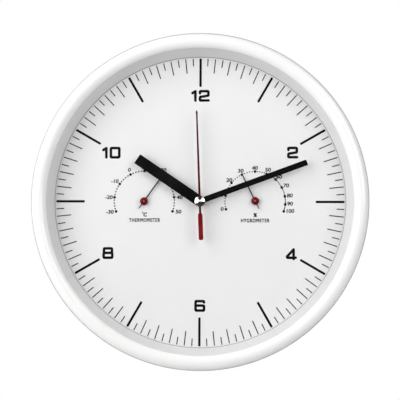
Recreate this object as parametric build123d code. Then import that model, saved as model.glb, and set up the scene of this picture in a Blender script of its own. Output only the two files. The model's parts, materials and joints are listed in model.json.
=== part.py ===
from build123d import *

import os
from math import cos, radians, sin, sqrt

# A round white wall clock whose dial also holds a dial thermometer and a dial hygrometer.
# Every piece is drawn as if the clock lay on its back: +Z is the height above the wall plane,
# +Y is up the dial and +X is right. save() then stands it up, so that the dial faces -Y and
# the wall plane is Y = 0, with the origin on the axis of the hands. Lengths are in millimetres.
# Angles of hands are clock angles, clockwise from 12. Angles of axes in the movement are
# counted the other way, from 3.

overrun = 1.0
full_turn = 360.0
half_turn = 180.0
quarter_turn = 90.0

# Case
case_radius = 150.0
case_depth = 48.0
rear_taper = 2.0
case_wall = 3.0
crown_inset = 7.2
lip_roll = 6.3
lip_edge = 0.5
glass_seat = 5.5
rib_wall = 1.5
rib_length = 4.0
core_wall = 4.0
core_inset = 3.4

# Glass, inner ring and dial
glass_thickness = 2.0
glass_play = 0.3
glass_gap = 1.8
ring_slope_width = 8.1
ring_wall = 1.9
ring_flange = 1.8
ring_step = 0.5
ring_foot_width = 4.1
ring_foot = 1.6
dial_sheet_thickness = 0.4
dial_plate_thickness = 2.0
dial_play = 0.7

# Back cover and the keyhole that it hangs by
cover_recess = 3.0
cover_thickness = 2.2
cover_play = 0.4
window_play = 2.0
window_corner = 4.0
keyhole_radius = 4.5
keyhole_slot_radius = 2.2
keyhole_slot_length = 9.0
keyhole_pad_radius = 12.0
keyhole_pad_thickness = 1.4
keyhole_pad_play = 1.0
vent_length = 26.0
vent_width = 2.4
vent_pitch = 5.6
vent_count = 5

# Bosses and screws
boss_radius = 4.0
boss_play = 0.9
boss_drop = 4.9
boss_web = 2.0
boss_web_sink = 0.8
cover_screw_count = 6
dial_screw_count = 4
dial_screw_turn = 45.0
shank_radius = 1.5
shank_play = 0.2
cover_shank = 13.0
dial_shank = 6.0
hole_spare = 0.5
head_radius = 3.0
head_height = 1.8
recess_span = 3.4
recess_width = 0.7
recess_depth = 1.0
ear_spare = 0.2

# Thermometer and hygrometer
thermometer_gap = 5.0
hygrometer_gap = 4.2
sensor_y = 0.4
sensor_radius = 17.0
sensor_depth = 9.0
sensor_wall = 1.2
sensor_vent_thickness = 1.0
sensor_rim_play = 0.2
sensor_rim_height = 2.6
sensor_vent_radius = 1.3
sensor_vent_circle = 11.0
sensor_vent_count = 8
sensor_shaft_radius = 0.6
running_play = 0.05
sensor_dial_hole = 1.5
sensor_collar_radius = 1.6
sensor_pointer_height = 1.6
sensor_pointer_thickness = 0.4
sensor_pointer_length = 26.0
sensor_pointer_tail = 8.0
sensor_pointer_root = 1.1
sensor_pointer_tip = 0.6
sensor_pointer_eye = 2.2
sensor_hub_radius = 3.55
sensor_hub_height = 2.7
sensor_hub_edge = 0.6
sensor_pin_height = 0.3
thermometer_angle = 35.6
hygrometer_angle = -26.0
coil_strip = 0.4
coil_width = 3.6
coil_lift = 1.8
coil_pitch = 1.7
coil_play = 1.0
coil_half_turns = 9
coil_post_radius = 0.9

# Movement case
movement_corner = 3.0
movement_wall = 1.5
movement_front_wall = 1.3
movement_split = 8.4
washer_thickness = 1.0
washer_radius = 9.0
ear_radius = 4.0
ear_inset = 8.0
ear_reach = 3.5
ear_thickness = 2.5
movement_shank = 4.5

# Battery and its bay
battery_radius = 7.1
battery_play = 0.2
battery_body = 49.2
battery_nub = 1.2
battery_nub_radius = 2.75
battery_shift = 0.25
battery_chamfer = 0.4
contact_room = 2.6
bay_wall = 1.3
bay_gap = 0.5
bay_clearance = 1.0
contact_thickness = 0.35
contact_dimple_radius = 2.4
contact_width = 9.0
contact_height = 12.0
leaf_flat = 2.0
leaf_span = 10.0
lead_width = 4.0
lead_inset = 7.0
lead_tab = 3.0

# Going train: teeth, centre distances and directions
rotor_pinion_teeth = 10
fifth_wheel_teeth = 50
fifth_pinion_teeth = 10
seconds_wheel_teeth = 60
seconds_pinion_teeth = 8
third_wheel_teeth = 60
third_pinion_teeth = 8
minute_wheel_teeth = 64
cannon_pinion_teeth = 12
motion_wheel_teeth = 36
motion_pinion_teeth = 12
hour_wheel_teeth = 48
knob_gear_teeth = 20
rotor_distance = 7.5
fifth_distance = 10.15
third_distance = 10.2
motion_distance = 9.0
rotor_direction = 20.0
fifth_direction = 40.0
third_direction = 160.0
motion_direction = 100.0
knob_direction = 125.0
addendum_share = 0.7
dedendum_share = 1.1
tip_width_share = 0.2
root_width_share = 0.55

# Going train: thicknesses, and the free height under each wheel
fifth_wheel_gap = 0.5
fifth_wheel_thickness = 0.6
seconds_wheel_gap = 0.4
wheel_thickness = 0.8
third_wheel_gap = 0.7
minute_wheel_gap = 0.9
motion_wheel_gap = 1.6
motion_wheel_thickness = 1.0
hour_wheel_gap = 1.4
hour_wheel_thickness = 1.0
post_gap = 2.0
pinion_past = 0.4
pinion_before = 0.2
hub_length = 0.4

# Arbors, pipes and the centre post
arbor_radius = 0.4
pivot_depth = 0.7
pivot_spare = 0.1
seconds_arbor_radius = 0.5
minute_pipe_radius = 1.6
hour_pipe_radius = 2.55
post_radius = 3.9
post_flange_radius = 6.0
post_flange = 1.2
post_rise = 1.0
dial_hole_play = 0.2
stud_radius = 0.6
stud_past = 0.8
motion_hub_radius = 1.2
end_play = 0.3

# Rotor, coil and circuit
magnet_radius = 3.0
magnet_gap = 1.0
magnet_height = 5.8
stator_thickness = 1.0
stator_hole_play = 0.6
stator_rim = 1.3
stator_bridge = 4.1
stator_leg = 2.5
stator_margin = 1.0
pole_gap = 2.0
core_width = 2.6
core_play = 0.5
winding_radius = 3.5
winding_length = 14.0
bobbin_flange = 1.0
bobbin_flange_rise = 0.8
bobbin_gap = 0.6
bobbin_radius = 1.9
peg_radius = 1.2
peg_inset = 1.25
board_gap = 3.4
board_top = 8.5
board_thickness = 0.8
board_lift = 0.9
board_peg_inset = 3.0
chip_radius = 2.4
chip_height = 0.9
chip_inset = 5.5
crystal_radius = 1.0
crystal_length = 6.0
crystal_inset = 3.7
crystal_rise = 4.1

# Setting knob
knob_radius = 5.5
knob_notch_radius = 0.35
knob_notch_count = 30
knob_thickness = 1.3
knob_sink = 0.3
knob_well_play = 0.5
knob_well_depth = 1.8
knob_well_floor = 1.0
knob_well_wall = 1.3
knob_arbor_radius = 1.0
knob_arbor_spare = 0.5

# Hands of the clock
hand_clearance = 0.5
hand_thickness = 0.8
hand_gap = 1.0
hour_hand_length = 67.3
hour_hand_width = 9.3
hour_hand_boss = 5.7
hour_hand_angle = -55.6
minute_hand_length = 101.4
minute_hand_root = 5.5
minute_hand_tip = 4.6
minute_hand_boss = 4.8
minute_hand_angle = 70.1
second_hand_thickness = 0.5
second_hand_length = 81.2
second_hand_root = 1.9
second_hand_tip = 0.95
second_hand_boss = 3.0
second_hand_tail = 1.6
weight_start = 10.9
weight_end = 33.8
weight_width = 3.9
weight_chamfer = 0.9
weight_round = 1.2
second_hand_angle = -1.95
collet_wall = 1.0
collet_drop = 3.0
collet_play = 0.15
pipe_stub = 0.4
cap_radius = 5.0
cap_height = 1.3
cap_cavity = 0.8
cap_play = 0.2
cap_edge = 0.5

# Heights in the going train, from the inside of the movement's rear wall up
fifth_wheel_lift = fifth_wheel_gap
fifth_wheel_top = fifth_wheel_lift + fifth_wheel_thickness
seconds_wheel_lift = fifth_wheel_top + seconds_wheel_gap
seconds_wheel_top = seconds_wheel_lift + wheel_thickness
third_wheel_lift = seconds_wheel_top + third_wheel_gap
third_wheel_top = third_wheel_lift + wheel_thickness
minute_wheel_lift = third_wheel_top + minute_wheel_gap
minute_wheel_top = minute_wheel_lift + wheel_thickness
motion_wheel_lift = minute_wheel_top + motion_wheel_gap
motion_wheel_top = motion_wheel_lift + motion_wheel_thickness
hour_wheel_lift = motion_wheel_top + hour_wheel_gap
hour_wheel_top = hour_wheel_lift + hour_wheel_thickness
train_depth = hour_wheel_top + post_gap + post_flange
movement_depth = movement_wall + train_depth + movement_front_wall
magnet_lift = fifth_wheel_top + magnet_gap
bobbin_flange_radius = winding_radius + bobbin_flange_rise
stator_lift = bobbin_flange_radius + bobbin_gap - stator_thickness / 2

# Heights over the dial
sensor_stack = sensor_pointer_height + sensor_pointer_thickness + sensor_hub_height + sensor_pin_height
hour_hand_height = sensor_stack + hand_clearance
hand_stack = hour_hand_height + 2 * (hand_thickness + hand_gap) + second_hand_thickness + cap_height
dial_well = hand_stack + glass_gap

# Heights over the wall plane
glass_front = case_depth - lip_roll - lip_edge
glass_back = glass_front - glass_thickness
dial_front = glass_back - dial_well
plate_front = dial_front - dial_sheet_thickness
plate_back = plate_front - dial_plate_thickness
movement_front = plate_back - washer_thickness
movement_back = movement_front - movement_depth
movement_seam = movement_back + movement_split
train_floor = movement_back + movement_wall
train_roof = movement_front - movement_front_wall
ear_back = movement_front - ear_thickness
cover_front = cover_recess + cover_thickness
boss_top = glass_back - ring_flange - boss_drop
post_top = dial_front + post_rise
hour_hand_bottom = dial_front + hour_hand_height
hour_pipe_top = hour_hand_bottom + hand_thickness + pipe_stub
minute_hand_bottom = hour_hand_bottom + hand_thickness + hand_gap
minute_pipe_top = minute_hand_bottom + hand_thickness + pipe_stub
second_hand_bottom = minute_hand_bottom + hand_thickness + hand_gap
second_hand_top = second_hand_bottom + second_hand_thickness
sensor_back = plate_back - sensor_depth
sensor_floor = plate_back - sensor_wall
sensor_pointer_bottom = dial_front + sensor_pointer_height
sensor_pointer_top = sensor_pointer_bottom + sensor_pointer_thickness

# Radii and places round the case
crown_radius = case_radius - crown_inset
lip_radius = crown_radius - lip_roll
glass_rib_radius = lip_radius + glass_seat
ring_top_radius = lip_radius + ring_step
dial_opening_radius = ring_top_radius - ring_slope_width
ring_slope = ring_slope_width / dial_well
ring_side_radius = dial_opening_radius + ring_slope * (boss_top - dial_front) + ring_wall
boss_circle_radius = ring_side_radius + boss_play + boss_radius
dial_radius = boss_circle_radius - boss_radius - dial_play
keyhole_pad_y = boss_circle_radius - boss_radius - keyhole_pad_play - keyhole_pad_radius
keyhole_height = keyhole_pad_y - keyhole_slot_length / 2

# Gears
going_module = 2 * rotor_distance / (rotor_pinion_teeth + fifth_wheel_teeth)
fifth_module = 2 * fifth_distance / (fifth_pinion_teeth + seconds_wheel_teeth)
third_module = 2 * third_distance / (seconds_pinion_teeth + third_wheel_teeth)
minute_module = 2 * third_distance / (third_pinion_teeth + minute_wheel_teeth)
motion_module = 2 * motion_distance / (cannon_pinion_teeth + motion_wheel_teeth)
hour_module = 2 * motion_distance / (motion_pinion_teeth + hour_wheel_teeth)
knob_distance = motion_module * (motion_wheel_teeth + knob_gear_teeth) / 2
seconds_wheel_reach = fifth_module * (seconds_wheel_teeth / 2 + addendum_share)
minute_wheel_reach = minute_module * (minute_wheel_teeth / 2 + addendum_share)

lying = (Align.CENTER, Align.CENTER, Align.MIN)
corner = (Align.MIN, Align.MIN, Align.MIN)


def save(name, piece):
    """Stand the piece up, dial to -Y, and write it."""
    export_step(Rot(quarter_turn, 0, 0) * piece, os.path.join("parts", name + ".step"))


def polar(distance, direction, start=(0, 0)):
    """The point at a distance and direction from start, counted anticlockwise from +X."""
    turn = radians(direction)
    return (start[0] + distance * cos(turn), start[1] + distance * sin(turn))


def disc(radius, bottom, top, centre=(0, 0)):
    solid = Cylinder(radius, top - bottom, align=lying)
    return Pos(centre[0], centre[1], bottom) * solid


def tube(outer, inner, bottom, top, centre=(0, 0)):
    return disc(outer, bottom, top, centre) - disc(inner, bottom - overrun, top + overrun, centre)


def block(left, right, low, high, bottom, top):
    return Pos(left, low, bottom) * Box(right - left, high - low, top - bottom, align=corner)


def slab(face, bottom, top):
    return Pos(0, 0, bottom) * extrude(face, top - bottom, dir=(0, 0, 1))


def outline(points):
    return make_face(Polyline(*points, close=True))


def turned(points):
    """A solid of revolution from points of radius and height."""
    section = Polyline(*[(radius, 0, height) for radius, height in points], close=True)
    return revolve(make_face(section), Axis.Z)


def dome_point(radius, rise, base, reach):
    """Where a dome of that radius and rise over the height base stands at a radius reach."""
    ball = (radius * radius + rise * rise) / (2 * rise)
    return (reach, 0, base + rise - ball + sqrt(ball * ball - reach * reach))


def dome(radius, inner, bottom, edge, height):
    """A round button with an upright edge, a domed top and a bore."""
    base = bottom + edge
    rise = height - edge
    outside = dome_point(radius, rise, base, radius)
    middle = dome_point(radius, rise, base, (radius + inner) / 2)
    inside = dome_point(radius, rise, base, inner)
    side = Polyline(inside, (inner, 0, bottom), (radius, 0, bottom), outside)
    top = ThreePointArc(outside, middle, inside)
    return revolve(make_face([side, top]), Axis.Z)


def screw(centre, seat, shank):
    """A pan-head screw whose head bears on the height seat from behind."""
    low = seat - head_height
    head = disc(head_radius, low, seat, centre)
    half_span = recess_span / 2
    half_width = recess_width / 2
    for half_x, half_y in ((half_span, half_width), (half_width, half_span)):
        left = centre[0] - half_x
        right = centre[0] + half_x
        base = centre[1] - half_y
        high = centre[1] + half_y
        head -= block(left, right, base, high, low - overrun, low + recess_depth)
    return head + disc(shank_radius, seat, seat + shank, centre)


def turns(count, start):
    """Evenly spaced directions round a circle."""
    return [start + full_turn * index / count for index in range(count)]


third_axis = polar(third_distance, third_direction)
fifth_axis = polar(fifth_distance, fifth_direction)
rotor_axis = polar(rotor_distance, rotor_direction, fifth_axis)
motion_axis = polar(motion_distance, motion_direction)
knob_axis = polar(knob_distance, knob_direction, motion_axis)

# The stator round the rotor, and the coil over it
stator_hole = magnet_radius + stator_hole_play
stator_right = rotor_axis[0] + stator_hole + stator_bridge
stator_bottom = rotor_axis[1] - stator_hole - stator_rim
stator_pole_left = rotor_axis[0] - stator_hole - stator_rim
stator_pole_top = rotor_axis[1] + stator_hole + stator_leg
stator_link_bottom = stator_pole_top - stator_leg
bobbin_length = winding_length + 2 * bobbin_flange
stator_left = stator_right - bobbin_length - 2 * (core_play + stator_leg)
core_y = stator_pole_top + pole_gap + bobbin_flange_radius
core_bottom = core_y - core_width / 2
core_top = core_y + core_width / 2

# The movement is a square round the hands' axis, as large as what it has to hold
battery_need = (battery_body + battery_nub + contact_room) / 2
bay_need = bay_wall + 2 * battery_radius + 3 * battery_play
wheel_need = max(seconds_wheel_reach, minute_wheel_reach) + bay_clearance + bay_need
coil_need = core_y + bobbin_flange_radius + bobbin_gap
inner_half = max(battery_need, wheel_need, coil_need, stator_right + stator_margin)
movement_size = 2 * (inner_half + movement_wall)
divider_bottom = -inner_half + 2 * (battery_radius + battery_play) + battery_play
divider_top = divider_bottom + bay_wall
battery_y = divider_bottom - battery_play - battery_radius
battery_z = train_roof - battery_play - battery_radius
battery_left = -battery_body / 2 - battery_shift
battery_right = battery_left + battery_body
board_left = -inner_half + contact_thickness
board_right = third_axis[0] - board_gap
board_bottom = divider_top + contact_thickness
chip_x = (board_left + board_right) / 2
chip_y = board_top - chip_inset
crystal_x = board_left + crystal_inset
crystal_y = board_bottom + crystal_rise
lead_left = board_right - lead_inset
ear_x = movement_size / 2 - ear_inset
ear_y = movement_size / 2 + ear_reach
thermometer_x = -(movement_size / 2 + thermometer_gap + sensor_radius)
hygrometer_x = movement_size / 2 + hygrometer_gap + sensor_radius
coil_start_radius = sensor_collar_radius + coil_play

cover_turns = turns(cover_screw_count, quarter_turn)
dial_turns = turns(dial_screw_count, dial_screw_turn)
cover_places = [polar(boss_circle_radius, turn) for turn in cover_turns]
dial_places = [polar(boss_circle_radius, turn) for turn in dial_turns]
ear_places = [(x, y) for x in (-ear_x, ear_x) for y in (-ear_y, ear_y)]
sensors = {
    "thermometer": (thermometer_x, thermometer_angle),
    "hygrometer": (hygrometer_x, hygrometer_angle),
}


def mesh_phase(teeth, phase, mate_teeth, direction):
    """The phase of a gear lying in that direction from one with these teeth and phase."""
    offset = (direction - phase) % (full_turn / teeth)
    gap = direction + half_turn + offset * teeth / mate_teeth
    return gap + half_turn / mate_teeth


def gear(teeth, module, phase, bottom, top, centre=(0, 0)):
    """A spur gear with straight-sided teeth, one tooth standing at the angle phase."""
    pitch = full_turn / teeth
    pitch_radius = module * teeth / 2
    tip = pitch_radius + addendum_share * module
    root = pitch_radius - dedendum_share * module
    flank = ((root, -root_width_share), (tip, -tip_width_share),
             (tip, tip_width_share), (root, root_width_share))
    points = []
    for tooth in range(teeth):
        for reach, share in flank:
            points.append(polar(reach, phase + pitch * (tooth + share / 2)))
    return Pos(centre[0], centre[1], 0) * slab(outline(points), bottom, top)


def arbor(radius, bottom, top, centre=(0, 0)):
    """A shaft whose two ends stand in the blind pivot holes of the movement's walls."""
    reach = pivot_depth - pivot_spare
    return disc(radius, bottom - reach, top + reach, centre)


def make_frame():
    """The white case ring: rolled front lip, tapered wall, glass rib and screw bosses."""
    roll_top = (crown_radius, 0, case_depth)
    outer_start = (case_radius, 0, case_depth - crown_inset)
    outer_middle = polar(crown_inset, quarter_turn / 2, (crown_radius, case_depth - crown_inset))
    lip_start = (lip_radius, 0, case_depth - lip_roll)
    lip_middle = polar(lip_roll, quarter_turn * 3 / 2, (crown_radius, case_depth - lip_roll))
    wall_back = case_radius - rear_taper
    core_top = case_depth - core_wall
    walls = Polyline(
        outer_start,
        (wall_back, 0, 0),
        (wall_back - case_wall, 0, 0),
        (case_radius - case_wall, 0, case_depth - crown_inset),
        (case_radius - core_inset, 0, core_top),
        (glass_rib_radius + rib_wall, 0, core_top),
        (glass_rib_radius + rib_wall, 0, glass_front - rib_length),
        (glass_rib_radius, 0, glass_front - rib_length),
        (glass_rib_radius, 0, glass_front),
        (lip_radius, 0, glass_front),
        lip_start,
    )
    inner_roll = ThreePointArc(lip_start, (lip_middle[0], 0, lip_middle[1]), roll_top)
    outer_roll = ThreePointArc(roll_top, (outer_middle[0], 0, outer_middle[1]), outer_start)
    frame = revolve(make_face([walls, inner_roll, outer_roll]), Axis.Z)
    web_reach = wall_back - boss_web_sink
    cover_end = cover_recess + cover_shank + hole_spare
    dial_end = plate_back + dial_shank + hole_spare
    for directions, start, hole_end in (
        (cover_turns, cover_front, cover_end),
        (dial_turns, plate_front, dial_end),
    ):
        for direction in directions:
            web = block(boss_circle_radius, web_reach, -boss_web / 2, boss_web / 2, start, boss_top)
            place = polar(boss_circle_radius, direction)
            boss = disc(boss_radius, start, boss_top, place) + Rot(0, 0, direction) * web
            frame += boss - disc(shank_radius, start - overrun, hole_end, place)
    return frame


def make_glass():
    return disc(glass_rib_radius - glass_play, glass_back, glass_front)


def make_inner_ring():
    """The sloped white ring between the glass and the dial."""
    top_outer = glass_rib_radius - glass_play
    flange_bottom = glass_back - ring_flange
    foot_top = dial_front + ring_foot
    flange_wall = dial_opening_radius + ring_slope * (flange_bottom - dial_front) + ring_wall
    return turned([
        (dial_opening_radius, dial_front),
        (dial_opening_radius + ring_foot_width, dial_front),
        (dial_opening_radius + ring_foot_width, foot_top),
        (dial_opening_radius + ring_slope * ring_foot + ring_wall, foot_top),
        (flange_wall, flange_bottom),
        (top_outer, flange_bottom),
        (top_outer, glass_back),
        (ring_top_radius, glass_back),
    ])


def dial_holes(bottom, top):
    """The holes of the dial: one for the centre post and one for each sensor's shaft."""
    holes = [disc(post_radius + dial_hole_play, bottom, top)]
    for x, _ in sensors.values():
        holes.append(disc(sensor_dial_hole, bottom, top, (x, sensor_y)))
    return holes


def make_dial_sheet():
    return disc(dial_radius, plate_front, dial_front) - dial_holes(plate_front, dial_front)


def make_dial_plate():
    """The plate behind the dial sheet, with ears, movement bosses and the sensors' rims."""
    plate = disc(dial_radius, plate_back, plate_front)
    ear_edge = boss_radius + ear_spare
    for direction in dial_turns:
        place = polar(boss_circle_radius, direction)
        bar = block(dial_radius - ear_edge, boss_circle_radius, -ear_edge, ear_edge,
                    plate_back, plate_front)
        plate += Rot(0, 0, direction) * bar + disc(ear_edge, plate_back, plate_front, place)
        plate -= disc(shank_radius + shank_play, plate_back, plate_front, place)
    for place in ear_places:
        plate += disc(ear_radius, movement_front, plate_back, place)
        plate -= disc(shank_radius, movement_front, ear_back + movement_shank + hole_spare, place)
    rim_inner = sensor_radius + sensor_rim_play
    for x, _ in sensors.values():
        rim_bottom = plate_back - sensor_rim_height
        rim = disc(rim_inner + sensor_wall, rim_bottom, plate_back, (x, sensor_y))
        plate += rim - disc(rim_inner, rim_bottom, plate_back, (x, sensor_y))
    return plate - dial_holes(plate_back, plate_front)


def make_back_cover():
    """The flat rear cover with its keyhole, the movement's window and the sensors' vents."""
    cover = disc(case_radius - rear_taper - case_wall - cover_play, cover_recess, cover_front)
    pad_top = cover_front + keyhole_pad_thickness
    cover += disc(keyhole_pad_radius, cover_front, pad_top, (0, keyhole_pad_y))
    keyhole = disc(keyhole_radius, cover_recess - overrun, pad_top + overrun, (0, keyhole_height))
    slot_end = keyhole_height + keyhole_slot_length
    keyhole += block(-keyhole_slot_radius, keyhole_slot_radius, keyhole_height, slot_end,
                     cover_recess - overrun, pad_top + overrun)
    keyhole += disc(keyhole_slot_radius, cover_recess - overrun, pad_top + overrun, (0, slot_end))
    side = movement_size + 2 * window_play
    low = cover_recess - overrun
    high = cover_front + overrun
    cover -= [keyhole, slab(RectangleRounded(side, side, window_corner), low, high)]
    for x, _ in sensors.values():
        for index in range(vent_count):
            y = sensor_y + (index - (vent_count - 1) / 2) * vent_pitch
            cover -= Pos(x, y, 0) * slab(SlotOverall(vent_length, vent_width), low, high)
    for place in cover_places:
        cover -= disc(shank_radius + shank_play, low, high, place)
    return cover


def screw_group(places, seat, shank):
    return Compound([screw(place, seat, shank) for place in places])


def make_sensor_housing(x):
    """The round cup behind the dial, open at the back, with the post of the metal strip."""
    centre = (x, sensor_y)
    cup = disc(sensor_radius, sensor_back, plate_back, centre)
    cup -= disc(sensor_radius - sensor_wall, sensor_back - overrun, sensor_floor, centre)
    cup -= disc(sensor_shaft_radius + running_play, sensor_back, plate_back + overrun, centre)
    post = (x - coil_outer_end(), sensor_y - coil_post_radius)
    return cup + disc(coil_post_radius, sensor_floor - coil_lift - coil_width, sensor_floor, post)


def coil_outer_end():
    """How far left of the shaft the middle of the strip's outer end lies."""
    return coil_start_radius + (coil_half_turns - 1) * coil_pitch / 2 + coil_pitch / 4


def make_sensor_vent(x):
    """The pierced cover over the back of the cup."""
    centre = (x, sensor_y)
    low = sensor_back - sensor_vent_thickness
    vent = disc(sensor_radius, low, sensor_back, centre)
    vent -= disc(sensor_shaft_radius + running_play, low - overrun, sensor_back + overrun, centre)
    for direction in turns(sensor_vent_count, 0):
        place = polar(sensor_vent_circle, direction, centre)
        vent -= disc(sensor_vent_radius, low - overrun, sensor_back + overrun, place)
    return vent


def make_sensor_coil(x):
    """The flat spiral strip. Its half circles lie about two centres a half pitch apart, and
    each is half a pitch larger than the last, so that they run on smoothly."""
    half_strip = coil_strip / 2
    edges = []
    for index in range(coil_half_turns):
        side = index % 2
        middle = ((side - 1 / 2) * coil_pitch / 2, 0)
        radius = coil_start_radius + index * coil_pitch / 2
        for reach in (radius - half_strip, radius + half_strip):
            edges.append(CenterArc(middle, reach, side * half_turn, half_turn))
    start = coil_start_radius - coil_pitch / 4
    end = -coil_outer_end()
    edges.append(Line((start - half_strip, 0), (start + half_strip, 0)))
    edges.append(Line((end - half_strip, 0), (end + half_strip, 0)))
    bottom = sensor_floor - coil_lift - coil_width
    top = sensor_floor - coil_lift
    strip = slab(make_face(edges), bottom, top)
    arm = block(sensor_collar_radius + running_play, start, 0, coil_strip, bottom, top)
    return Pos(x, sensor_y, 0) * (strip + arm)


def make_sensor_shaft(x):
    """The pointer's shaft, with the collar that the strip's inner end turns."""
    centre = (x, sensor_y)
    bottom = sensor_back - sensor_vent_thickness
    top = sensor_pointer_top + sensor_hub_height + sensor_pin_height
    collar_top = sensor_floor - coil_lift
    collar = disc(sensor_collar_radius, collar_top - coil_width, collar_top, centre)
    return disc(sensor_shaft_radius, bottom, top, centre) + collar


def make_sensor_pointer(x, angle):
    """The thin tapered needle with its eye and tail."""
    half_root = sensor_pointer_root / 2
    half_tip = sensor_pointer_tip / 2
    needle = outline([
        (-half_root, -sensor_pointer_tail),
        (half_root, -sensor_pointer_tail),
        (half_root, 0),
        (half_tip, sensor_pointer_length),
        (-half_tip, sensor_pointer_length),
        (-half_root, 0),
    ])
    plate = slab(needle, 0, sensor_pointer_thickness) + disc(sensor_pointer_eye, 0, sensor_pointer_thickness)
    plate -= disc(sensor_shaft_radius, -overrun, overrun)
    return Pos(x, sensor_y, sensor_pointer_bottom) * Rot(0, 0, -angle) * plate


def make_sensor_hub(x):
    button = dome(sensor_hub_radius, sensor_shaft_radius, sensor_pointer_top, sensor_hub_edge,
                  sensor_hub_height)
    return Pos(x, sensor_y, 0) * button


def pivot_holes(start, end, axes):
    """Blind holes for the arbors, from the inner face of a wall into it."""
    return [disc(arbor_radius + running_play, min(start, end), max(start, end), axis) for axis in axes]


def make_movement_front():
    """The front half of the movement's case, with its ears, the stud and pivot holes."""
    shell = movement_shell(movement_seam, movement_front, movement_seam - overrun, train_roof)
    for x, y in ear_places:
        edge = movement_size / 2 if y > 0 else -movement_size / 2
        low = min(y, edge)
        bar = block(x - ear_radius, x + ear_radius, low, max(y, edge), ear_back, movement_front)
        shell += bar + disc(ear_radius, ear_back, movement_front, (x, y))
        shell -= disc(shank_radius + shank_play, ear_back - overrun, movement_front + overrun, (x, y))
    shell -= disc(post_radius + running_play, train_roof - overrun, movement_front + overrun)
    shell -= pivot_holes(train_roof, train_roof + pivot_depth, [third_axis, fifth_axis, rotor_axis])
    stud_low = train_floor + motion_wheel_lift - stud_past
    return shell + disc(stud_radius, stud_low, train_roof, motion_axis)


def movement_shell(bottom, top, hollow_bottom, hollow_top):
    """A rounded square box of the movement's outline, hollow between two heights."""
    inner = 2 * inner_half
    shell = slab(RectangleRounded(movement_size, movement_size, movement_corner), bottom, top)
    hollow = RectangleRounded(inner, inner, movement_corner - movement_wall)
    return shell - slab(hollow, hollow_bottom, hollow_top)


def stator_pegs():
    """Where the stator rests: under both ends of the core and under a corner of the pole."""
    left = stator_left + peg_inset
    right = stator_right - peg_inset
    return [(left, core_y), (right, core_y), (right, stator_bottom + peg_inset)]


def make_movement_rear():
    """The rear half of the movement's case: battery bay, knob well, pegs and pivot holes."""
    shell = movement_shell(movement_back, movement_seam, train_floor, movement_seam + overrun)
    bay = inner_half - bay_gap
    shell -= block(-bay, bay, -inner_half, divider_bottom, movement_back - overrun, train_floor + overrun)
    shell += block(-bay, bay, divider_bottom, divider_top, movement_back, train_roof - battery_play)
    well_top = movement_back + knob_well_depth
    well_radius = knob_radius + knob_well_play
    shell += disc(well_radius + knob_well_wall, movement_back, well_top + knob_well_floor, knob_axis)
    shell -= disc(well_radius, movement_back - overrun, well_top, knob_axis)
    shell -= disc(knob_arbor_radius + running_play, movement_back, train_floor + knob_well_depth, knob_axis)
    for place in stator_pegs():
        shell += disc(peg_radius, train_floor, train_floor + stator_lift, place)
    for place in (
        (board_left + board_peg_inset, board_top - board_peg_inset),
        (board_right - board_peg_inset, board_bottom + board_peg_inset),
    ):
        shell += disc(peg_radius, train_floor, train_floor + board_lift, place)
    pivot_low = train_floor - pivot_depth
    shell -= disc(seconds_arbor_radius + running_play, pivot_low, train_floor)
    return shell - pivot_holes(train_floor, pivot_low, [third_axis, fifth_axis, rotor_axis])


def make_centre_post():
    """The flanged bush that carries the hour pipe and centres the dial."""
    post = disc(post_radius, train_roof - post_flange, post_top)
    post += disc(post_flange_radius, train_roof - post_flange, train_roof)
    return post - disc(hour_pipe_radius + running_play, movement_back, post_top + overrun)


def make_washer():
    return tube(washer_radius, post_radius + dial_hole_play, movement_front, plate_back)


def make_bobbin():
    """The spool of the coil, lying along X round the stator's core."""
    flange = Cylinder(bobbin_flange_radius, bobbin_flange, rotation=(0, quarter_turn, 0))
    spool = Cylinder(bobbin_radius, winding_length, rotation=(0, quarter_turn, 0))
    shift = (winding_length + bobbin_flange) / 2
    spool += [Pos(-shift, 0, 0) * flange, Pos(shift, 0, 0) * flange]
    spool -= Box(bobbin_length + 2 * overrun, core_width, stator_thickness)
    return coil_place() * spool


def coil_place():
    """The middle of the coil."""
    height = train_floor + stator_lift + stator_thickness / 2
    return Pos((stator_left + stator_right) / 2, core_y, height)


def make_winding():
    wire = Cylinder(winding_radius, winding_length, rotation=(0, quarter_turn, 0))
    return coil_place() * (wire - Cylinder(bobbin_radius, 2 * winding_length, rotation=(0, quarter_turn, 0)))


def make_stator():
    """The iron plate that leads the coil's field round the rotor."""
    bottom = train_floor + stator_lift
    top = bottom + stator_thickness
    plate = block(stator_left, stator_right, core_bottom, core_top, bottom, top)
    plate += block(stator_left, stator_left + stator_leg, stator_link_bottom, core_top, bottom, top)
    plate += block(stator_right - stator_leg, stator_right, stator_bottom, core_top, bottom, top)
    link_end = stator_pole_left + overrun
    plate += block(stator_left, link_end, stator_link_bottom, stator_pole_top, bottom, top)
    plate += block(stator_pole_left, stator_right, stator_bottom, stator_pole_top, bottom, top)
    return plate - disc(stator_hole, bottom - overrun, top + overrun, rotor_axis)


def make_circuit_board():
    """The board, with the drop of resin over its chip."""
    bottom = train_floor + board_lift
    top = bottom + board_thickness
    board = block(board_left, board_right, board_bottom, board_top, bottom, top)
    return board + Pos(chip_x, chip_y, 0) * dome_cap(chip_radius, top, chip_height)


def dome_cap(radius, bottom, height):
    """A solid low dome standing on the height bottom."""
    outside = dome_point(radius, height, bottom, radius)
    middle = dome_point(radius, height, bottom, radius / 2)
    inside = dome_point(radius, height, bottom, 0)
    side = Polyline(inside, (0, 0, bottom), outside)
    return revolve(make_face([side, ThreePointArc(outside, middle, inside)]), Axis.Z)


def make_crystal():
    can = Cylinder(crystal_radius, crystal_length, rotation=(quarter_turn, 0, 0))
    height = train_floor + board_lift + board_thickness + crystal_radius
    return Pos(crystal_x, crystal_y + crystal_length / 2, height) * can


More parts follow.
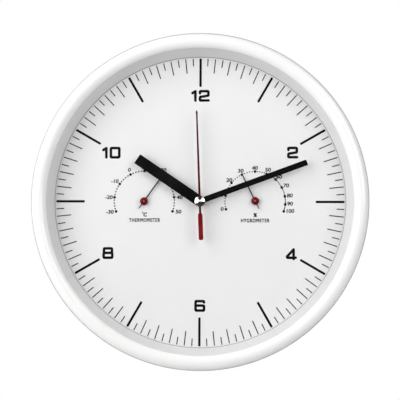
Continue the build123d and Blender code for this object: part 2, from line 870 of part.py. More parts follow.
def make_contact_plus():
    """The plate at the battery's button, and its lead to the board along the bay's wall."""
    plate = block(inner_half - contact_thickness, inner_half, battery_y - contact_width / 2,
                  divider_top + contact_thickness, battery_z - contact_height / 2,
                  battery_z + contact_height / 2)
    lead_top = battery_z + contact_height / 2
    lead_low = lead_top - lead_width
    lead = block(lead_left, inner_half, divider_top, divider_top + contact_thickness, lead_low, lead_top)
    tab = block(lead_left, lead_left + lead_tab, divider_top, divider_top + contact_thickness,
                train_floor + board_lift, lead_top)
    nub_end = battery_right + battery_nub
    reach = inner_half - contact_thickness - nub_end
    dimple = Cylinder(contact_dimple_radius, reach, rotation=(0, quarter_turn, 0))
    return plate + lead + tab + Pos(nub_end + reach / 2, battery_y, battery_z) * dimple


def make_contact_minus():
    """The plate at the battery's flat end, with its bowed leaf and a tab beside the board."""
    back = -inner_half + contact_thickness
    half_flat = leaf_flat / 2
    half_span = leaf_span / 2
    inside = battery_left - contact_thickness
    leaf = outline([
        (back, battery_y - half_span),
        (battery_left, battery_y - half_flat),
        (battery_left, battery_y + half_flat),
        (back, battery_y + half_span),
        (back, battery_y + half_span - 2 * contact_thickness),
        (inside, battery_y + half_flat),
        (inside, battery_y - half_flat),
        (back, battery_y - half_span + 2 * contact_thickness),
    ])
    low = battery_z - contact_width / 2
    plate = block(-inner_half, back, battery_y - half_span, divider_top + lead_tab, low,
                  battery_z + contact_width / 2)
    tab = block(-inner_half, back, divider_top, divider_top + lead_tab, train_floor + board_lift, low)
    return plate + tab + slab(leaf, battery_z - lead_width / 2, battery_z + lead_width / 2)


def make_battery():
    """A plain round cell lying along X, with its button at the right."""
    can = chamfer(Cylinder(battery_radius, battery_body).edges(), battery_chamfer)
    nub = Pos(0, 0, (battery_body + battery_nub) / 2) * Cylinder(battery_nub_radius, battery_nub)
    return Pos(-battery_shift, battery_y, battery_z) * Rot(0, quarter_turn, 0) * (can + nub)


def make_rotor():
    phase = rotor_direction + half_turn
    low = train_floor + fifth_wheel_lift - pinion_before
    top = train_floor + fifth_wheel_top + pinion_past
    magnet_low = train_floor + magnet_lift
    rotor = arbor(arbor_radius, train_floor, train_roof, rotor_axis)
    rotor += gear(rotor_pinion_teeth, going_module, phase, low, top, rotor_axis)
    return rotor + disc(magnet_radius, magnet_low, magnet_low + magnet_height, rotor_axis)


def make_fifth_wheel():
    back = rotor_direction + half_turn
    phase = mesh_phase(rotor_pinion_teeth, back, fifth_wheel_teeth, back)
    low = train_floor + fifth_wheel_lift
    top = train_floor + fifth_wheel_top
    pinion_top = train_floor + seconds_wheel_top + pinion_past
    wheel = arbor(arbor_radius, train_floor, train_roof, fifth_axis)
    wheel += gear(fifth_wheel_teeth, going_module, phase, low, top, fifth_axis)
    pinion_phase = fifth_direction + half_turn
    return wheel + gear(fifth_pinion_teeth, fifth_module, pinion_phase, top, pinion_top, fifth_axis)


def make_seconds_wheel():
    """The wheel, pinion and long arbor that carry the second hand."""
    back = fifth_direction + half_turn
    phase = mesh_phase(fifth_pinion_teeth, back, seconds_wheel_teeth, back)
    low = train_floor + seconds_wheel_lift
    top = train_floor + seconds_wheel_top
    pinion_top = train_floor + third_wheel_top + pinion_past
    reach = pivot_depth - pivot_spare
    wheel = disc(seconds_arbor_radius, train_floor - reach, second_hand_top + pipe_stub)
    wheel += gear(seconds_wheel_teeth, fifth_module, phase, low, top)
    return wheel + gear(seconds_pinion_teeth, third_module, third_direction, top, pinion_top)


def make_third_wheel():
    phase = mesh_phase(seconds_pinion_teeth, third_direction, third_wheel_teeth, third_direction)
    low = train_floor + third_wheel_lift
    top = train_floor + third_wheel_top
    pinion_top = train_floor + minute_wheel_top + pinion_past
    wheel = arbor(arbor_radius, train_floor, train_roof, third_axis)
    wheel += gear(third_wheel_teeth, third_module, phase, low, top, third_axis)
    pinion_phase = third_direction + half_turn
    return wheel + gear(third_pinion_teeth, minute_module, pinion_phase, top, pinion_top, third_axis)


def make_minute_wheel():
    """The centre wheel with its pipe and the pinion that drives the hour train."""
    back = third_direction + half_turn
    phase = mesh_phase(third_pinion_teeth, back, minute_wheel_teeth, back)
    low = train_floor + minute_wheel_lift
    cannon_low = train_floor + motion_wheel_lift - pinion_before
    cannon_top = train_floor + motion_wheel_top + pinion_past
    wheel = gear(minute_wheel_teeth, minute_module, phase, low, low + wheel_thickness)
    wheel += disc(minute_pipe_radius, low - hub_length / 2, minute_pipe_top)
    wheel += gear(cannon_pinion_teeth, motion_module, motion_direction, cannon_low, cannon_top)
    return wheel - disc(seconds_arbor_radius + running_play, train_floor, minute_pipe_top + overrun)


def motion_wheel_phase():
    return mesh_phase(cannon_pinion_teeth, motion_direction, motion_wheel_teeth, motion_direction)


def make_motion_wheel():
    """The wheel and pinion that turn on the stud between the minute and the hour pipe."""
    low = train_floor + motion_wheel_lift
    top = train_floor + motion_wheel_top
    pinion_top = train_floor + hour_wheel_top + pinion_past
    pinion_phase = motion_direction + half_turn
    wheel = gear(motion_wheel_teeth, motion_module, motion_wheel_phase(), low, top, motion_axis)
    wheel += gear(motion_pinion_teeth, hour_module, pinion_phase, top, pinion_top, motion_axis)
    wheel += disc(motion_hub_radius, pinion_top, train_roof - end_play, motion_axis)
    return wheel - disc(stud_radius + running_play, low - overrun, train_roof, motion_axis)


def make_hour_wheel():
    back = motion_direction + half_turn
    phase = mesh_phase(motion_pinion_teeth, back, hour_wheel_teeth, back)
    low = train_floor + hour_wheel_lift
    wheel = gear(hour_wheel_teeth, hour_module, phase, low, low + hour_wheel_thickness)
    wheel += disc(hour_pipe_radius, low - hub_length, hour_pipe_top)
    return wheel - disc(minute_pipe_radius + running_play, train_floor, hour_pipe_top + overrun)


def make_setting_knob():
    """The knurled knob in the rear wall, with the gear that turns the motion wheel."""
    low = movement_back + knob_sink
    top = low + knob_thickness
    knob = disc(knob_radius, low, top, knob_axis)
    for direction in turns(knob_notch_count, 0):
        notch = polar(knob_radius, direction, knob_axis)
        knob -= disc(knob_notch_radius, low - overrun, top + overrun, notch)
    gear_low = train_floor + motion_wheel_lift - pinion_before
    gear_top = train_floor + motion_wheel_top + pinion_before
    phase = mesh_phase(motion_wheel_teeth, motion_wheel_phase(), knob_gear_teeth, knob_direction)
    knob += disc(knob_arbor_radius, top, gear_top + knob_arbor_spare, knob_axis)
    return knob + gear(knob_gear_teeth, motion_module, phase, gear_low, gear_top, knob_axis)


def hand_place(bottom, angle):
    """Where a hand drawn pointing to 12 goes."""
    return Pos(0, 0, bottom) * Rot(0, 0, -angle)


def make_hour_hand():
    half = hour_hand_width / 2
    blade = outline([(-half, 0), (half, 0), (half, hour_hand_length), (-half, hour_hand_length)])
    hand = slab(blade, 0, hand_thickness) + disc(hour_hand_boss, 0, hand_thickness)
    hand -= disc(hour_pipe_radius + collet_wall, -overrun, hand_thickness + overrun)
    return hand_place(hour_hand_bottom, hour_hand_angle) * hand


def make_minute_hand():
    half_root = minute_hand_root / 2
    half_tip = minute_hand_tip / 2
    blade = outline([(-half_root, 0), (half_root, 0), (half_tip, minute_hand_length),
                     (-half_tip, minute_hand_length)])
    hand = slab(blade, 0, hand_thickness) + disc(minute_hand_boss, 0, hand_thickness)
    hand -= disc(minute_pipe_radius + collet_wall, -overrun, hand_thickness + overrun)
    return hand_place(minute_hand_bottom, minute_hand_angle) * hand


def make_second_hand():
    """A needle with a thin tail and a wide counterweight."""
    half_root = second_hand_root / 2
    half_tip = second_hand_tip / 2
    half_tail = second_hand_tail / 2
    half_weight = weight_width / 2
    needle = outline([(-half_root, 0), (half_root, 0), (half_tip, second_hand_length),
                      (-half_tip, second_hand_length)])
    tail = outline([(-half_tail, 0), (-half_tail, -weight_start - weight_chamfer),
                    (half_tail, -weight_start - weight_chamfer), (half_tail, 0)])
    weight = outline([
        (-half_weight + weight_chamfer, -weight_start),
        (-half_weight, -weight_start - weight_chamfer),
        (-half_weight, -weight_end),
        (half_weight, -weight_end),
        (half_weight, -weight_start - weight_chamfer),
        (half_weight - weight_chamfer, -weight_start),
    ])
    solid_weight = slab(weight, 0, second_hand_thickness)
    ends = solid_weight.edges().filter_by(Axis.Z).sort_by(Axis.Y)[:2]
    hand = slab(needle, 0, second_hand_thickness) + slab(tail, 0, second_hand_thickness)
    hand += fillet(ends, weight_round) + disc(second_hand_boss, 0, second_hand_thickness)
    hand -= disc(seconds_arbor_radius + collet_wall, -overrun, second_hand_thickness + overrun)
    return hand_place(second_hand_bottom, second_hand_angle) * hand


def make_cap():
    """The metal button over the hands, hollow over the second hand's collet."""
    cap = dome(cap_radius, 0, second_hand_top, cap_edge, cap_height)
    return cap - disc(seconds_arbor_radius + collet_wall + cap_play, second_hand_top - overrun,
                      second_hand_top + cap_cavity)


pieces = {
    "frame": make_frame(),
    "glass": make_glass(),
    "inner_ring": make_inner_ring(),
    "dial_sheet": make_dial_sheet(),
    "dial_plate": make_dial_plate(),
    "back_cover": make_back_cover(),
    "cover_screws": screw_group(cover_places, cover_recess, cover_shank),
    "dial_screws": screw_group(dial_places, plate_back, dial_shank),
    "movement_screws": screw_group(ear_places, ear_back, movement_shank),
    "movement_front": make_movement_front(),
    "movement_rear": make_movement_rear(),
    "centre_post": make_centre_post(),
    "rubber_washer": make_washer(),
    "coil_bobbin": make_bobbin(),
    "coil_winding": make_winding(),
    "stator": make_stator(),
    "circuit_board": make_circuit_board(),
    "quartz_crystal": make_crystal(),
    "contact_plus": make_contact_plus(),
    "contact_minus": make_contact_minus(),
    "battery": make_battery(),
    "rotor": make_rotor(),
    "fifth_wheel": make_fifth_wheel(),
    "seconds_wheel": make_seconds_wheel(),
    "third_wheel": make_third_wheel(),
    "minute_wheel": make_minute_wheel(),
    "motion_wheel": make_motion_wheel(),
    "hour_wheel": make_hour_wheel(),
    "setting_knob": make_setting_knob(),
    "hour_hand": make_hour_hand(),
    "hour_collet": tube(hour_pipe_radius + collet_wall, hour_pipe_radius,
                        hour_hand_bottom - collet_drop, hour_hand_bottom + hand_thickness),
    "minute_hand": make_minute_hand(),
    "minute_collet": tube(minute_pipe_radius + collet_wall, minute_pipe_radius,
                          hour_pipe_top + collet_play, minute_pipe_top),
    "second_hand": make_second_hand(),
    "second_collet": tube(seconds_arbor_radius + collet_wall, seconds_arbor_radius,
                          minute_pipe_top + collet_play, second_hand_top + pipe_stub),
    "hub_cap": make_cap(),
}
for sensor, (sensor_x, pointer_angle) in sensors.items():
    pieces[sensor + "_housing"] = make_sensor_housing(sensor_x)
    pieces[sensor + "_vent"] = make_sensor_vent(sensor_x)
    pieces[sensor + "_coil"] = make_sensor_coil(sensor_x)
    pieces[sensor + "_shaft"] = make_sensor_shaft(sensor_x)
    pieces[sensor + "_pointer"] = make_sensor_pointer(sensor_x, pointer_angle)
    pieces[sensor + "_hub"] = make_sensor_hub(sensor_x)

os.makedirs("parts", exist_ok=True)
for name, piece in pieces.items():
    save(name, piece)
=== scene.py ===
import bmesh
import bpy
import json
import math
from mathutils import Matrix, Vector

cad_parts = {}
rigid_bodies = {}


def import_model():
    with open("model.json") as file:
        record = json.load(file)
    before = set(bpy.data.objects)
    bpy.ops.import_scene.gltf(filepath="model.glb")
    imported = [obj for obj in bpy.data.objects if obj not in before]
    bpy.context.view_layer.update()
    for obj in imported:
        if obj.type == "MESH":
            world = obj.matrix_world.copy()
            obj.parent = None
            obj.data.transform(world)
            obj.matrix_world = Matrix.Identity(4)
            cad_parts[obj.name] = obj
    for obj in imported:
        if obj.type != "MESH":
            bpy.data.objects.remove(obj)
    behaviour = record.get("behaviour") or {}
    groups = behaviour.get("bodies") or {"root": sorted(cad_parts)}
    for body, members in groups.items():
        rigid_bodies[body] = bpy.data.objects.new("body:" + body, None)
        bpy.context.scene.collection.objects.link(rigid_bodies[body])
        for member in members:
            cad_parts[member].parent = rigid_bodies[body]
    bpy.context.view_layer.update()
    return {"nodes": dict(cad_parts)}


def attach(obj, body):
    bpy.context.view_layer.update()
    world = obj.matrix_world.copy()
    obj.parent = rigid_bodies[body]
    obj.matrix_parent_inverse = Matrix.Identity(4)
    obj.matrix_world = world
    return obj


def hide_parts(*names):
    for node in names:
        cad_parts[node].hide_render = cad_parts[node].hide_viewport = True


# The looks of a round white wall clock with a dial thermometer and a dial hygrometer.
# Own pieces are drawn as the CAD draws them, with the clock on its back: x right, y up the dial
# and z the height over the wall, in millimetres. stood() then turns them up and into metres.

for old in list(bpy.data.objects):
    bpy.data.objects.remove(old)
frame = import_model()
nodes = frame["nodes"]

MM = 0.001
UPRIGHT = Matrix.Rotation(math.radians(90), 4, "X") @ Matrix.Scale(MM, 4)

# Measures shared with the CAD
CASE_RADIUS = 150.0
CASE_DEPTH = 48.0
CROWN_INSET = 7.2
LIP_ROLL = 6.3
CROWN_RADIUS = CASE_RADIUS - CROWN_INSET
LIP_RADIUS = CROWN_RADIUS - LIP_ROLL
REAR_RADIUS = 148.0
CASE_WALL = 3.0
CORE_TOP = 44.0
CORE_RADIUS = 146.6
RIB_INNER = 142.0
RIB_OUTER = 143.5
GLASS_FRONT = 41.2
GLASS_BACK = 39.2
RIB_END = 37.2
RING_TOP_RADIUS = 137.0
DIAL_FRONT = 26.5
RING_FLANGE_BOTTOM = 37.4
RING_WALL = 1.9
RING_FOOT = 1.6
RING_FOOT_WIDTH = 4.1
BOSS_CIRCLE = 139.527
BOSS_RADIUS = 4.0
BOSS_TOP = 32.5
SHANK_RADIUS = 1.5
SENSOR_Y = 0.4
THERMOMETER_X = -50.0
HYGROMETER_X = 49.2

# Measures read off the photograph
DIAL_OPENING = 129.6
WEIGHT_TOP = -11.5
PRINT_TURN = -0.27


def stood(mesh):
    """Turn a mesh that was drawn lying, in millimetres, into its place in the clock."""
    mesh.transform(UPRIGHT)
    return mesh


def closed(mesh, distance=0.0005):
    """Merge the seam and the poles, and point every face outwards."""
    work = bmesh.new()
    work.from_mesh(mesh)
    bmesh.ops.remove_doubles(work, verts=work.verts, dist=distance)
    bmesh.ops.recalc_face_normals(work, faces=work.faces)
    work.to_mesh(mesh)
    work.free()
    return mesh


def rounded(mesh, angle=30.0):
    """Smooth shading, with a crease where two faces meet at more than the angle."""
    mesh.shade_smooth()
    mesh.set_sharp_from_angle(angle=math.radians(angle))
    return mesh


def piece(name, mesh, body, slot, material, *replaced):
    """A finished piece at the origin, riding on its body, in place of the CAD nodes named."""
    made = bpy.data.objects.new(name, mesh)
    bpy.context.scene.collection.objects.link(made)
    if material.name not in [m.name for m in mesh.materials if m]:
        mesh.materials.clear()
        mesh.materials.append(material)
    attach(made, body)
    if replaced:
        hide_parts(*replaced)
    return made


# Geometry Nodes: small helpers, then one tree for each way a piece is made

def new_tree(name, inputs):
    """A tree with a geometry in and out and the named inputs; returns it and its input node."""
    tree = bpy.data.node_groups.new(name, "GeometryNodeTree")
    tree.interface.new_socket("Geometry", in_out="OUTPUT", socket_type="NodeSocketGeometry")
    tree.interface.new_socket("Geometry", in_out="INPUT", socket_type="NodeSocketGeometry")
    for label, kind in inputs.items():
        tree.interface.new_socket(label, in_out="INPUT", socket_type="NodeSocket" + kind)
    tree.interface.new_socket("Finish", in_out="INPUT", socket_type="NodeSocketMaterial")
    return tree, tree.nodes.new("NodeGroupInput")


def put(tree, kind, sockets, **settings):
    """Add a node: settings are its own options, sockets its inputs, as values or as links."""
    node = tree.nodes.new(kind)
    for key, value in settings.items():
        setattr(node, key, value)
    for key, value in sockets.items():
        if isinstance(value, bpy.types.NodeSocket):
            tree.links.new(value, node.inputs[key])
        else:
            node.inputs[key].default_value = value
    return node


def math_node(tree, operation, first, second=0.0):
    return put(tree, "ShaderNodeMath", {0: first, 1: second}, operation=operation).outputs[0]


def end_tree(tree, start, geometry):
    """Realize Instances, Set Material and the output."""
    real = put(tree, "GeometryNodeRealizeInstances", {"Geometry": geometry})
    coated = put(tree, "GeometryNodeSetMaterial",
                 {"Geometry": real.outputs[0], "Material": start.outputs["Finish"]})
    put(tree, "NodeGroupOutput", {"Geometry": coated.outputs[0]})


def grown(tree, source, finish, **values):
    """Run a tree on a source mesh and return the result as a plain mesh."""
    holder = bpy.data.objects.new(tree.name, source)
    bpy.context.scene.collection.objects.link(holder)
    growth = holder.modifiers.new("growth", "NODES")
    growth.node_group = tree
    wanted = {key.replace("_", " "): value for key, value in values.items()}
    wanted["finish"] = finish
    for item in tree.interface.items_tree:
        if item.in_out == "INPUT" and item.name.lower() in wanted:
            growth[item.identifier] = wanted[item.name.lower()]
    seen = holder.evaluated_get(bpy.context.evaluated_depsgraph_get())
    mesh = bpy.data.meshes.new_from_object(seen)
    holder.modifiers.remove(growth)
    bpy.data.objects.remove(holder)
    return mesh


def line_mesh(points, loop=False):
    """A mesh of edges along points."""
    mesh = bpy.data.meshes.new("line")
    last = len(points) if loop else len(points) - 1
    edges = [(index, (index + 1) % len(points)) for index in range(last)]
    mesh.from_pydata([(*point, 0.0)[:3] for point in points], edges, [])
    return mesh


def build_turning_tree():
    """A profile of radius and height, drawn in x and -y, swept once round the z axis."""
    tree, start = new_tree("turned piece", {"Steps": "Int", "Rail Radius": "Float"})
    rail = put(tree, "GeometryNodeCurvePrimitiveCircle",
               {"Resolution": start.outputs["Steps"], "Radius": start.outputs["Rail Radius"]})
    upright = put(tree, "GeometryNodeSetCurveNormal", {"Curve": rail.outputs[0]}, mode="Z_UP")
    shift = put(tree, "ShaderNodeCombineXYZ",
                {"X": math_node(tree, "MULTIPLY", start.outputs["Rail Radius"], -1.0)})
    near = put(tree, "GeometryNodeTransform",
               {"Geometry": start.outputs["Geometry"], "Translation": shift.outputs[0]})
    profile = put(tree, "GeometryNodeMeshToCurve", {"Mesh": near.outputs[0]})
    swept = put(tree, "GeometryNodeCurveToMesh",
                {"Curve": upright.outputs[0], "Profile Curve": profile.outputs[0]})
    end_tree(tree, start, swept.outputs[0])
    return tree


def build_stroke_tree():
    """Strokes along drawn lines: corners rounded, then a flat band with round ends."""
    tree, start = new_tree("stroke", {"Corner": "Float", "Width": "Float", "Thickness": "Float"})
    lines = put(tree, "GeometryNodeMeshToCurve", {"Mesh": start.outputs["Geometry"]})
    bends = put(tree, "GeometryNodeFilletCurve",
                {"Curve": lines.outputs[0], "Count": 5, "Radius": start.outputs["Corner"],
                 "Limit Radius": True}, mode="POLY")
    level = put(tree, "GeometryNodeSetCurveNormal", {"Curve": bends.outputs[0]}, mode="Z_UP")
    band = put(tree, "GeometryNodeCurvePrimitiveQuadrilateral",
               {"Width": start.outputs["Width"], "Height": start.outputs["Thickness"]})
    body = put(tree, "GeometryNodeCurveToMesh",
               {"Curve": level.outputs[0], "Profile Curve": band.outputs[0], "Fill Caps": True})
    nib = put(tree, "GeometryNodeMeshCylinder",
              {"Vertices": 16, "Radius": math_node(tree, "MULTIPLY", start.outputs["Width"], 0.5),
               "Depth": math_node(tree, "SUBTRACT", start.outputs["Thickness"], 0.004)})
    ends = put(tree, "GeometryNodeCurveEndpointSelection", {"Start Size": 1, "End Size": 1})
    tips = put(tree, "GeometryNodeInstanceOnPoints",
               {"Points": bends.outputs[0], "Selection": ends.outputs[0],
                "Instance": nib.outputs[0]})
    both = put(tree, "GeometryNodeJoinGeometry", {})
    tree.links.new(body.outputs[0], both.inputs[0])
    tree.links.new(tips.outputs[0], both.inputs[0])
    end_tree(tree, start, both.outputs[0])
    return tree


def build_mark_tree():
    """A printed bar or dot at each given point, its length pointing away from a centre."""
    tree, start = new_tree("marks", {"Length": "Float", "Width": "Float", "Thickness": "Float",
                                     "Corner": "Float", "Centre": "Vector"})
    shape = put(tree, "GeometryNodeCurvePrimitiveQuadrilateral",
                {"Width": start.outputs["Width"], "Height": start.outputs["Length"]})
    bends = put(tree, "GeometryNodeFilletCurve",
                {"Curve": shape.outputs[0], "Count": 4, "Radius": start.outputs["Corner"],
                 "Limit Radius": True}, mode="POLY")
    top = put(tree, "ShaderNodeCombineXYZ", {"Z": start.outputs["Thickness"]})
    rail = put(tree, "GeometryNodeCurvePrimitiveLine", {"End": top.outputs[0]})
    mark = put(tree, "GeometryNodeCurveToMesh",
               {"Curve": rail.outputs[0], "Profile Curve": bends.outputs[0], "Fill Caps": True})
    place = put(tree, "GeometryNodeInputPosition", {})
    outward = put(tree, "ShaderNodeVectorMath",
                  {0: place.outputs[0], 1: start.outputs["Centre"]}, operation="SUBTRACT")
    level = put(tree, "ShaderNodeVectorMath",
                {0: outward.outputs[0], 1: (1.0, 1.0, 0.0)}, operation="MULTIPLY")
    turned_to = put(tree, "FunctionNodeAlignRotationToVector", {"Vector": level.outputs[0]},
                    axis="Y", pivot_axis="Z")
    placed = put(tree, "GeometryNodeInstanceOnPoints",
                 {"Points": start.outputs["Geometry"], "Instance": mark.outputs[0],
                  "Rotation": turned_to.outputs[0]})
    end_tree(tree, start, placed.outputs[0])
    return tree


def build_dial_round_tree():
    """Bars evenly spaced round the dial. Counted on from First, the multiples of Left Out
    Every are missing."""
    tree, start = new_tree("round of bars", {
        "Count": "Int", "First": "Int", "Left Out Every": "Int", "Middle Radius": "Float",
        "Length": "Float", "Width": "Float", "Thickness": "Float", "Corner": "Float",
        "Height": "Float", "Turn": "Float"})
    row = put(tree, "GeometryNodeMeshLine", {"Count": start.outputs["Count"]})
    index = put(tree, "GeometryNodeInputIndex", {}).outputs[0]
    step = math_node(tree, "DIVIDE", 2.0 * math.pi, start.outputs["Count"])
    angle = math_node(tree, "ADD", math_node(tree, "MULTIPLY", index, step),
                      start.outputs["Turn"])
    radius = start.outputs["Middle Radius"]
    spot = put(tree, "ShaderNodeCombineXYZ",
               {"X": math_node(tree, "MULTIPLY", math_node(tree, "SINE", angle), radius),
                "Y": math_node(tree, "MULTIPLY", math_node(tree, "COSINE", angle), radius),
                "Z": start.outputs["Height"]})
    spread = put(tree, "GeometryNodeSetPosition",
                 {"Geometry": row.outputs[0], "Position": spot.outputs[0]})
    counted = math_node(tree, "ADD", index, start.outputs["First"])
    left_over = math_node(tree, "MODULO", counted, start.outputs["Left Out Every"])
    kept = math_node(tree, "GREATER_THAN", left_over, 0.5)
    shape = put(tree, "GeometryNodeCurvePrimitiveQuadrilateral",
                {"Width": start.outputs["Width"], "Height": start.outputs["Length"]})
    bends = put(tree, "GeometryNodeFilletCurve",
                {"Curve": shape.outputs[0], "Count": 3, "Radius": start.outputs["Corner"],
                 "Limit Radius": True}, mode="POLY")
    top = put(tree, "ShaderNodeCombineXYZ", {"Z": start.outputs["Thickness"]})
    rail = put(tree, "GeometryNodeCurvePrimitiveLine", {"End": top.outputs[0]})
    bar = put(tree, "GeometryNodeCurveToMesh",
              {"Curve": rail.outputs[0], "Profile Curve": bends.outputs[0], "Fill Caps": True})
    turn = put(tree, "ShaderNodeCombineXYZ", {"Z": math_node(tree, "MULTIPLY", angle, -1.0)})
    placed = put(tree, "GeometryNodeInstanceOnPoints",
                 {"Points": spread.outputs[0], "Selection": kept, "Instance": bar.outputs[0],
                  "Rotation": turn.outputs[0]})
    end_tree(tree, start, placed.outputs[0])
    return tree


def build_boss_tree():
    """Hollow screw bosses evenly spaced on a circle, each with its web to the wall."""
    tree, start = new_tree("screw bosses", {
        "Count": "Int", "First Turn": "Float", "Circle": "Float", "Boss Radius": "Float",
        "Hole Radius": "Float", "Low": "Float", "High": "Float", "Web Width": "Float",
        "Web Reach": "Float"})
    get = start.outputs
    row = put(tree, "GeometryNodeMeshLine", {"Count": get["Count"]})
    index = put(tree, "GeometryNodeInputIndex", {}).outputs[0]
    step = math_node(tree, "DIVIDE", 2.0 * math.pi, get["Count"])
    angle = math_node(tree, "ADD", math_node(tree, "MULTIPLY", index, step), get["First Turn"])
    height = math_node(tree, "SUBTRACT", get["High"], get["Low"])
    middle = math_node(tree, "MULTIPLY", math_node(tree, "ADD", get["High"], get["Low"]), 0.5)
    spot = put(tree, "ShaderNodeCombineXYZ",
               {"X": math_node(tree, "MULTIPLY", math_node(tree, "COSINE", angle), get["Circle"]),
                "Y": math_node(tree, "MULTIPLY", math_node(tree, "SINE", angle), get["Circle"]),
                "Z": middle})
    spread = put(tree, "GeometryNodeSetPosition",
                 {"Geometry": row.outputs[0], "Position": spot.outputs[0]})
    wall = math_node(tree, "SUBTRACT", get["Boss Radius"], get["Hole Radius"])
    round_way = math_node(tree, "ADD", get["Hole Radius"], math_node(tree, "MULTIPLY", wall, 0.5))
    rail = put(tree, "GeometryNodeCurvePrimitiveCircle", {"Resolution": 32, "Radius": round_way})
    section = put(tree, "GeometryNodeCurvePrimitiveQuadrilateral",
                  {"Width": wall, "Height": height})
    level = put(tree, "GeometryNodeSetCurveNormal", {"Curve": rail.outputs[0]}, mode="Z_UP")
    tube = put(tree, "GeometryNodeCurveToMesh",
               {"Curve": level.outputs[0], "Profile Curve": section.outputs[0]})
    near_end = math_node(tree, "SUBTRACT", get["Boss Radius"], 0.2)
    far_end = math_node(tree, "SUBTRACT", get["Web Reach"], get["Circle"])
    web_size = put(tree, "ShaderNodeCombineXYZ",
                   {"X": math_node(tree, "SUBTRACT", far_end, near_end),
                    "Y": get["Web Width"], "Z": height})
    web = put(tree, "GeometryNodeMeshCube", {"Size": web_size.outputs[0]})
    half_way = math_node(tree, "MULTIPLY", math_node(tree, "ADD", far_end, near_end), 0.5)
    web_place = put(tree, "ShaderNodeCombineXYZ", {"X": half_way})
    set_web = put(tree, "GeometryNodeTransform",
                  {"Geometry": web.outputs[0], "Translation": web_place.outputs[0]})
    both = put(tree, "GeometryNodeJoinGeometry", {})
    tree.links.new(tube.outputs[0], both.inputs[0])
    tree.links.new(set_web.outputs[0], both.inputs[0])
    turn = put(tree, "ShaderNodeCombineXYZ", {"Z": angle})
    placed = put(tree, "GeometryNodeInstanceOnPoints",
                 {"Points": spread.outputs[0], "Instance": both.outputs[0],
                  "Rotation": turn.outputs[0]})
    end_tree(tree, start, placed.outputs[0])
    return tree


turning_tree = build_turning_tree()
boss_tree = build_boss_tree()
stroke_tree = build_stroke_tree()
mark_tree = build_mark_tree()
dial_round_tree = build_dial_round_tree()


# Finishes

def object_place(tree):
    return put(tree, "ShaderNodeTexCoord", {}).outputs["Object"]


def surface(name, colour, roughness, patch=20.0, spread=0.03, gloss_spread=0.05,
            grain=900.0, grain_depth=0.00002, **sockets):
    """A Principled finish: soft patches of colour and gloss, and a fine raised grain."""
    material = bpy.data.materials.new(name)
    material.use_nodes = True
    tree = material.node_tree
    shader = tree.nodes["Principled BSDF"]
    place = object_place(tree)
    patches = put(tree, "ShaderNodeTexNoise", {"Vector": place, "Scale": patch, "Detail": 4.0})
    tone = put(tree, "ShaderNodeMix", {0: patches.outputs[0]}, data_type="RGBA")
    tone.inputs[6].default_value = (*[max(0.0, c * (1 - spread)) for c in colour], 1.0)
    tone.inputs[7].default_value = (*[min(1.0, c * (1 + spread)) for c in colour], 1.0)
    tree.links.new(tone.outputs[2], shader.inputs["Base Color"])
    gloss = put(tree, "ShaderNodeMapRange",
                {"Value": patches.outputs[0], "From Min": 0.3, "From Max": 0.7,
                 "To Min": max(0.02, roughness - gloss_spread),
                 "To Max": min(1.0, roughness + gloss_spread)})
    tree.links.new(gloss.outputs[0], shader.inputs["Roughness"])
    fine = put(tree, "ShaderNodeTexNoise", {"Vector": place, "Scale": grain, "Detail": 2.0})
    raised = put(tree, "ShaderNodeBump",
                 {"Strength": 0.6, "Distance": grain_depth, "Height": fine.outputs[0]})
    tree.links.new(raised.outputs[0], shader.inputs["Normal"])
    for key, value in sockets.items():
        shader.inputs[key.replace("_", " ")].default_value = value
    return material


def axis_distance(tree):
    """The distance from the axis of the dial, in metres."""
    level = put(tree, "ShaderNodeVectorMath", {0: object_place(tree), 1: (1.0, 0.0, 1.0)},
                operation="MULTIPLY")
    return put(tree, "ShaderNodeVectorMath", {0: level.outputs[0]},
               operation="LENGTH").outputs["Value"]


def ramp(tree, value, start, end):
    """0 at the start value, rising to 1 at the end value."""
    return put(tree, "ShaderNodeMapRange",
               {"Value": value, "From Min": start, "From Max": end}).outputs[0]


def blend_into(material, share, colour):
    """Let the colour of a finish go over into another one by a share."""
    tree = material.node_tree
    shader = tree.nodes["Principled BSDF"]
    plain = shader.inputs["Base Color"].links[0].from_socket
    tone = put(tree, "ShaderNodeMix", {0: share, 6: plain}, data_type="RGBA")
    tone.inputs[7].default_value = (*colour, 1.0)
    tree.links.new(tone.outputs[2], shader.inputs["Base Color"])


def paint_front_roll_edge_shade(material):
    """Painted shade: the colour goes darker where the outer half of the front roll turns out of
    sight, drawing a dark outline at its edge.
    """
    tree = material.node_tree
    turned_away = ramp(tree, put(tree, "ShaderNodeLayerWeight", {}).outputs["Facing"], 0.5, 0.9)
    place = put(tree, "ShaderNodeSeparateXYZ", {0: object_place(tree)})
    on_roll = ramp(tree, place.outputs["Y"], -(CASE_DEPTH - 10.0) * MM, -(CASE_DEPTH - 7.0) * MM)
    outer_half = ramp(tree, axis_distance(tree), (CROWN_RADIUS - 1.3) * MM,
                      (CROWN_RADIUS + 0.7) * MM)
    share = math_node(tree, "MULTIPLY", turned_away, on_roll)
    blend_into(material, math_node(tree, "MULTIPLY", share, outer_half), (0.2, 0.2, 0.2))


def paint_ring_foot_shadow(material):
    """Painted shadow: a thin dark line where the inner ring stands on the dial, for the contact
    shadow in that crease.
    """
    tree = material.node_tree
    foot_shadow = ramp(tree, axis_distance(tree), (DIAL_OPENING + 0.7) * MM, (DIAL_OPENING + 0.2) * MM)
    blend_into(material, foot_shadow, (0.24, 0.24, 0.24))


def paint_blade_shade(material):
    """Bright red on the weight of the second hand, and from there to the tip a dark red that is
    painted shade, for the shading of a ridged blade.
    """
    tree = material.node_tree
    place = put(tree, "ShaderNodeSeparateXYZ", {0: object_place(tree)})
    blade = ramp(tree, place.outputs["Z"], (WEIGHT_TOP - 1.0) * MM, (WEIGHT_TOP + 1.0) * MM)
    blend_into(material, blade, (0.07, 0.003, 0.008))


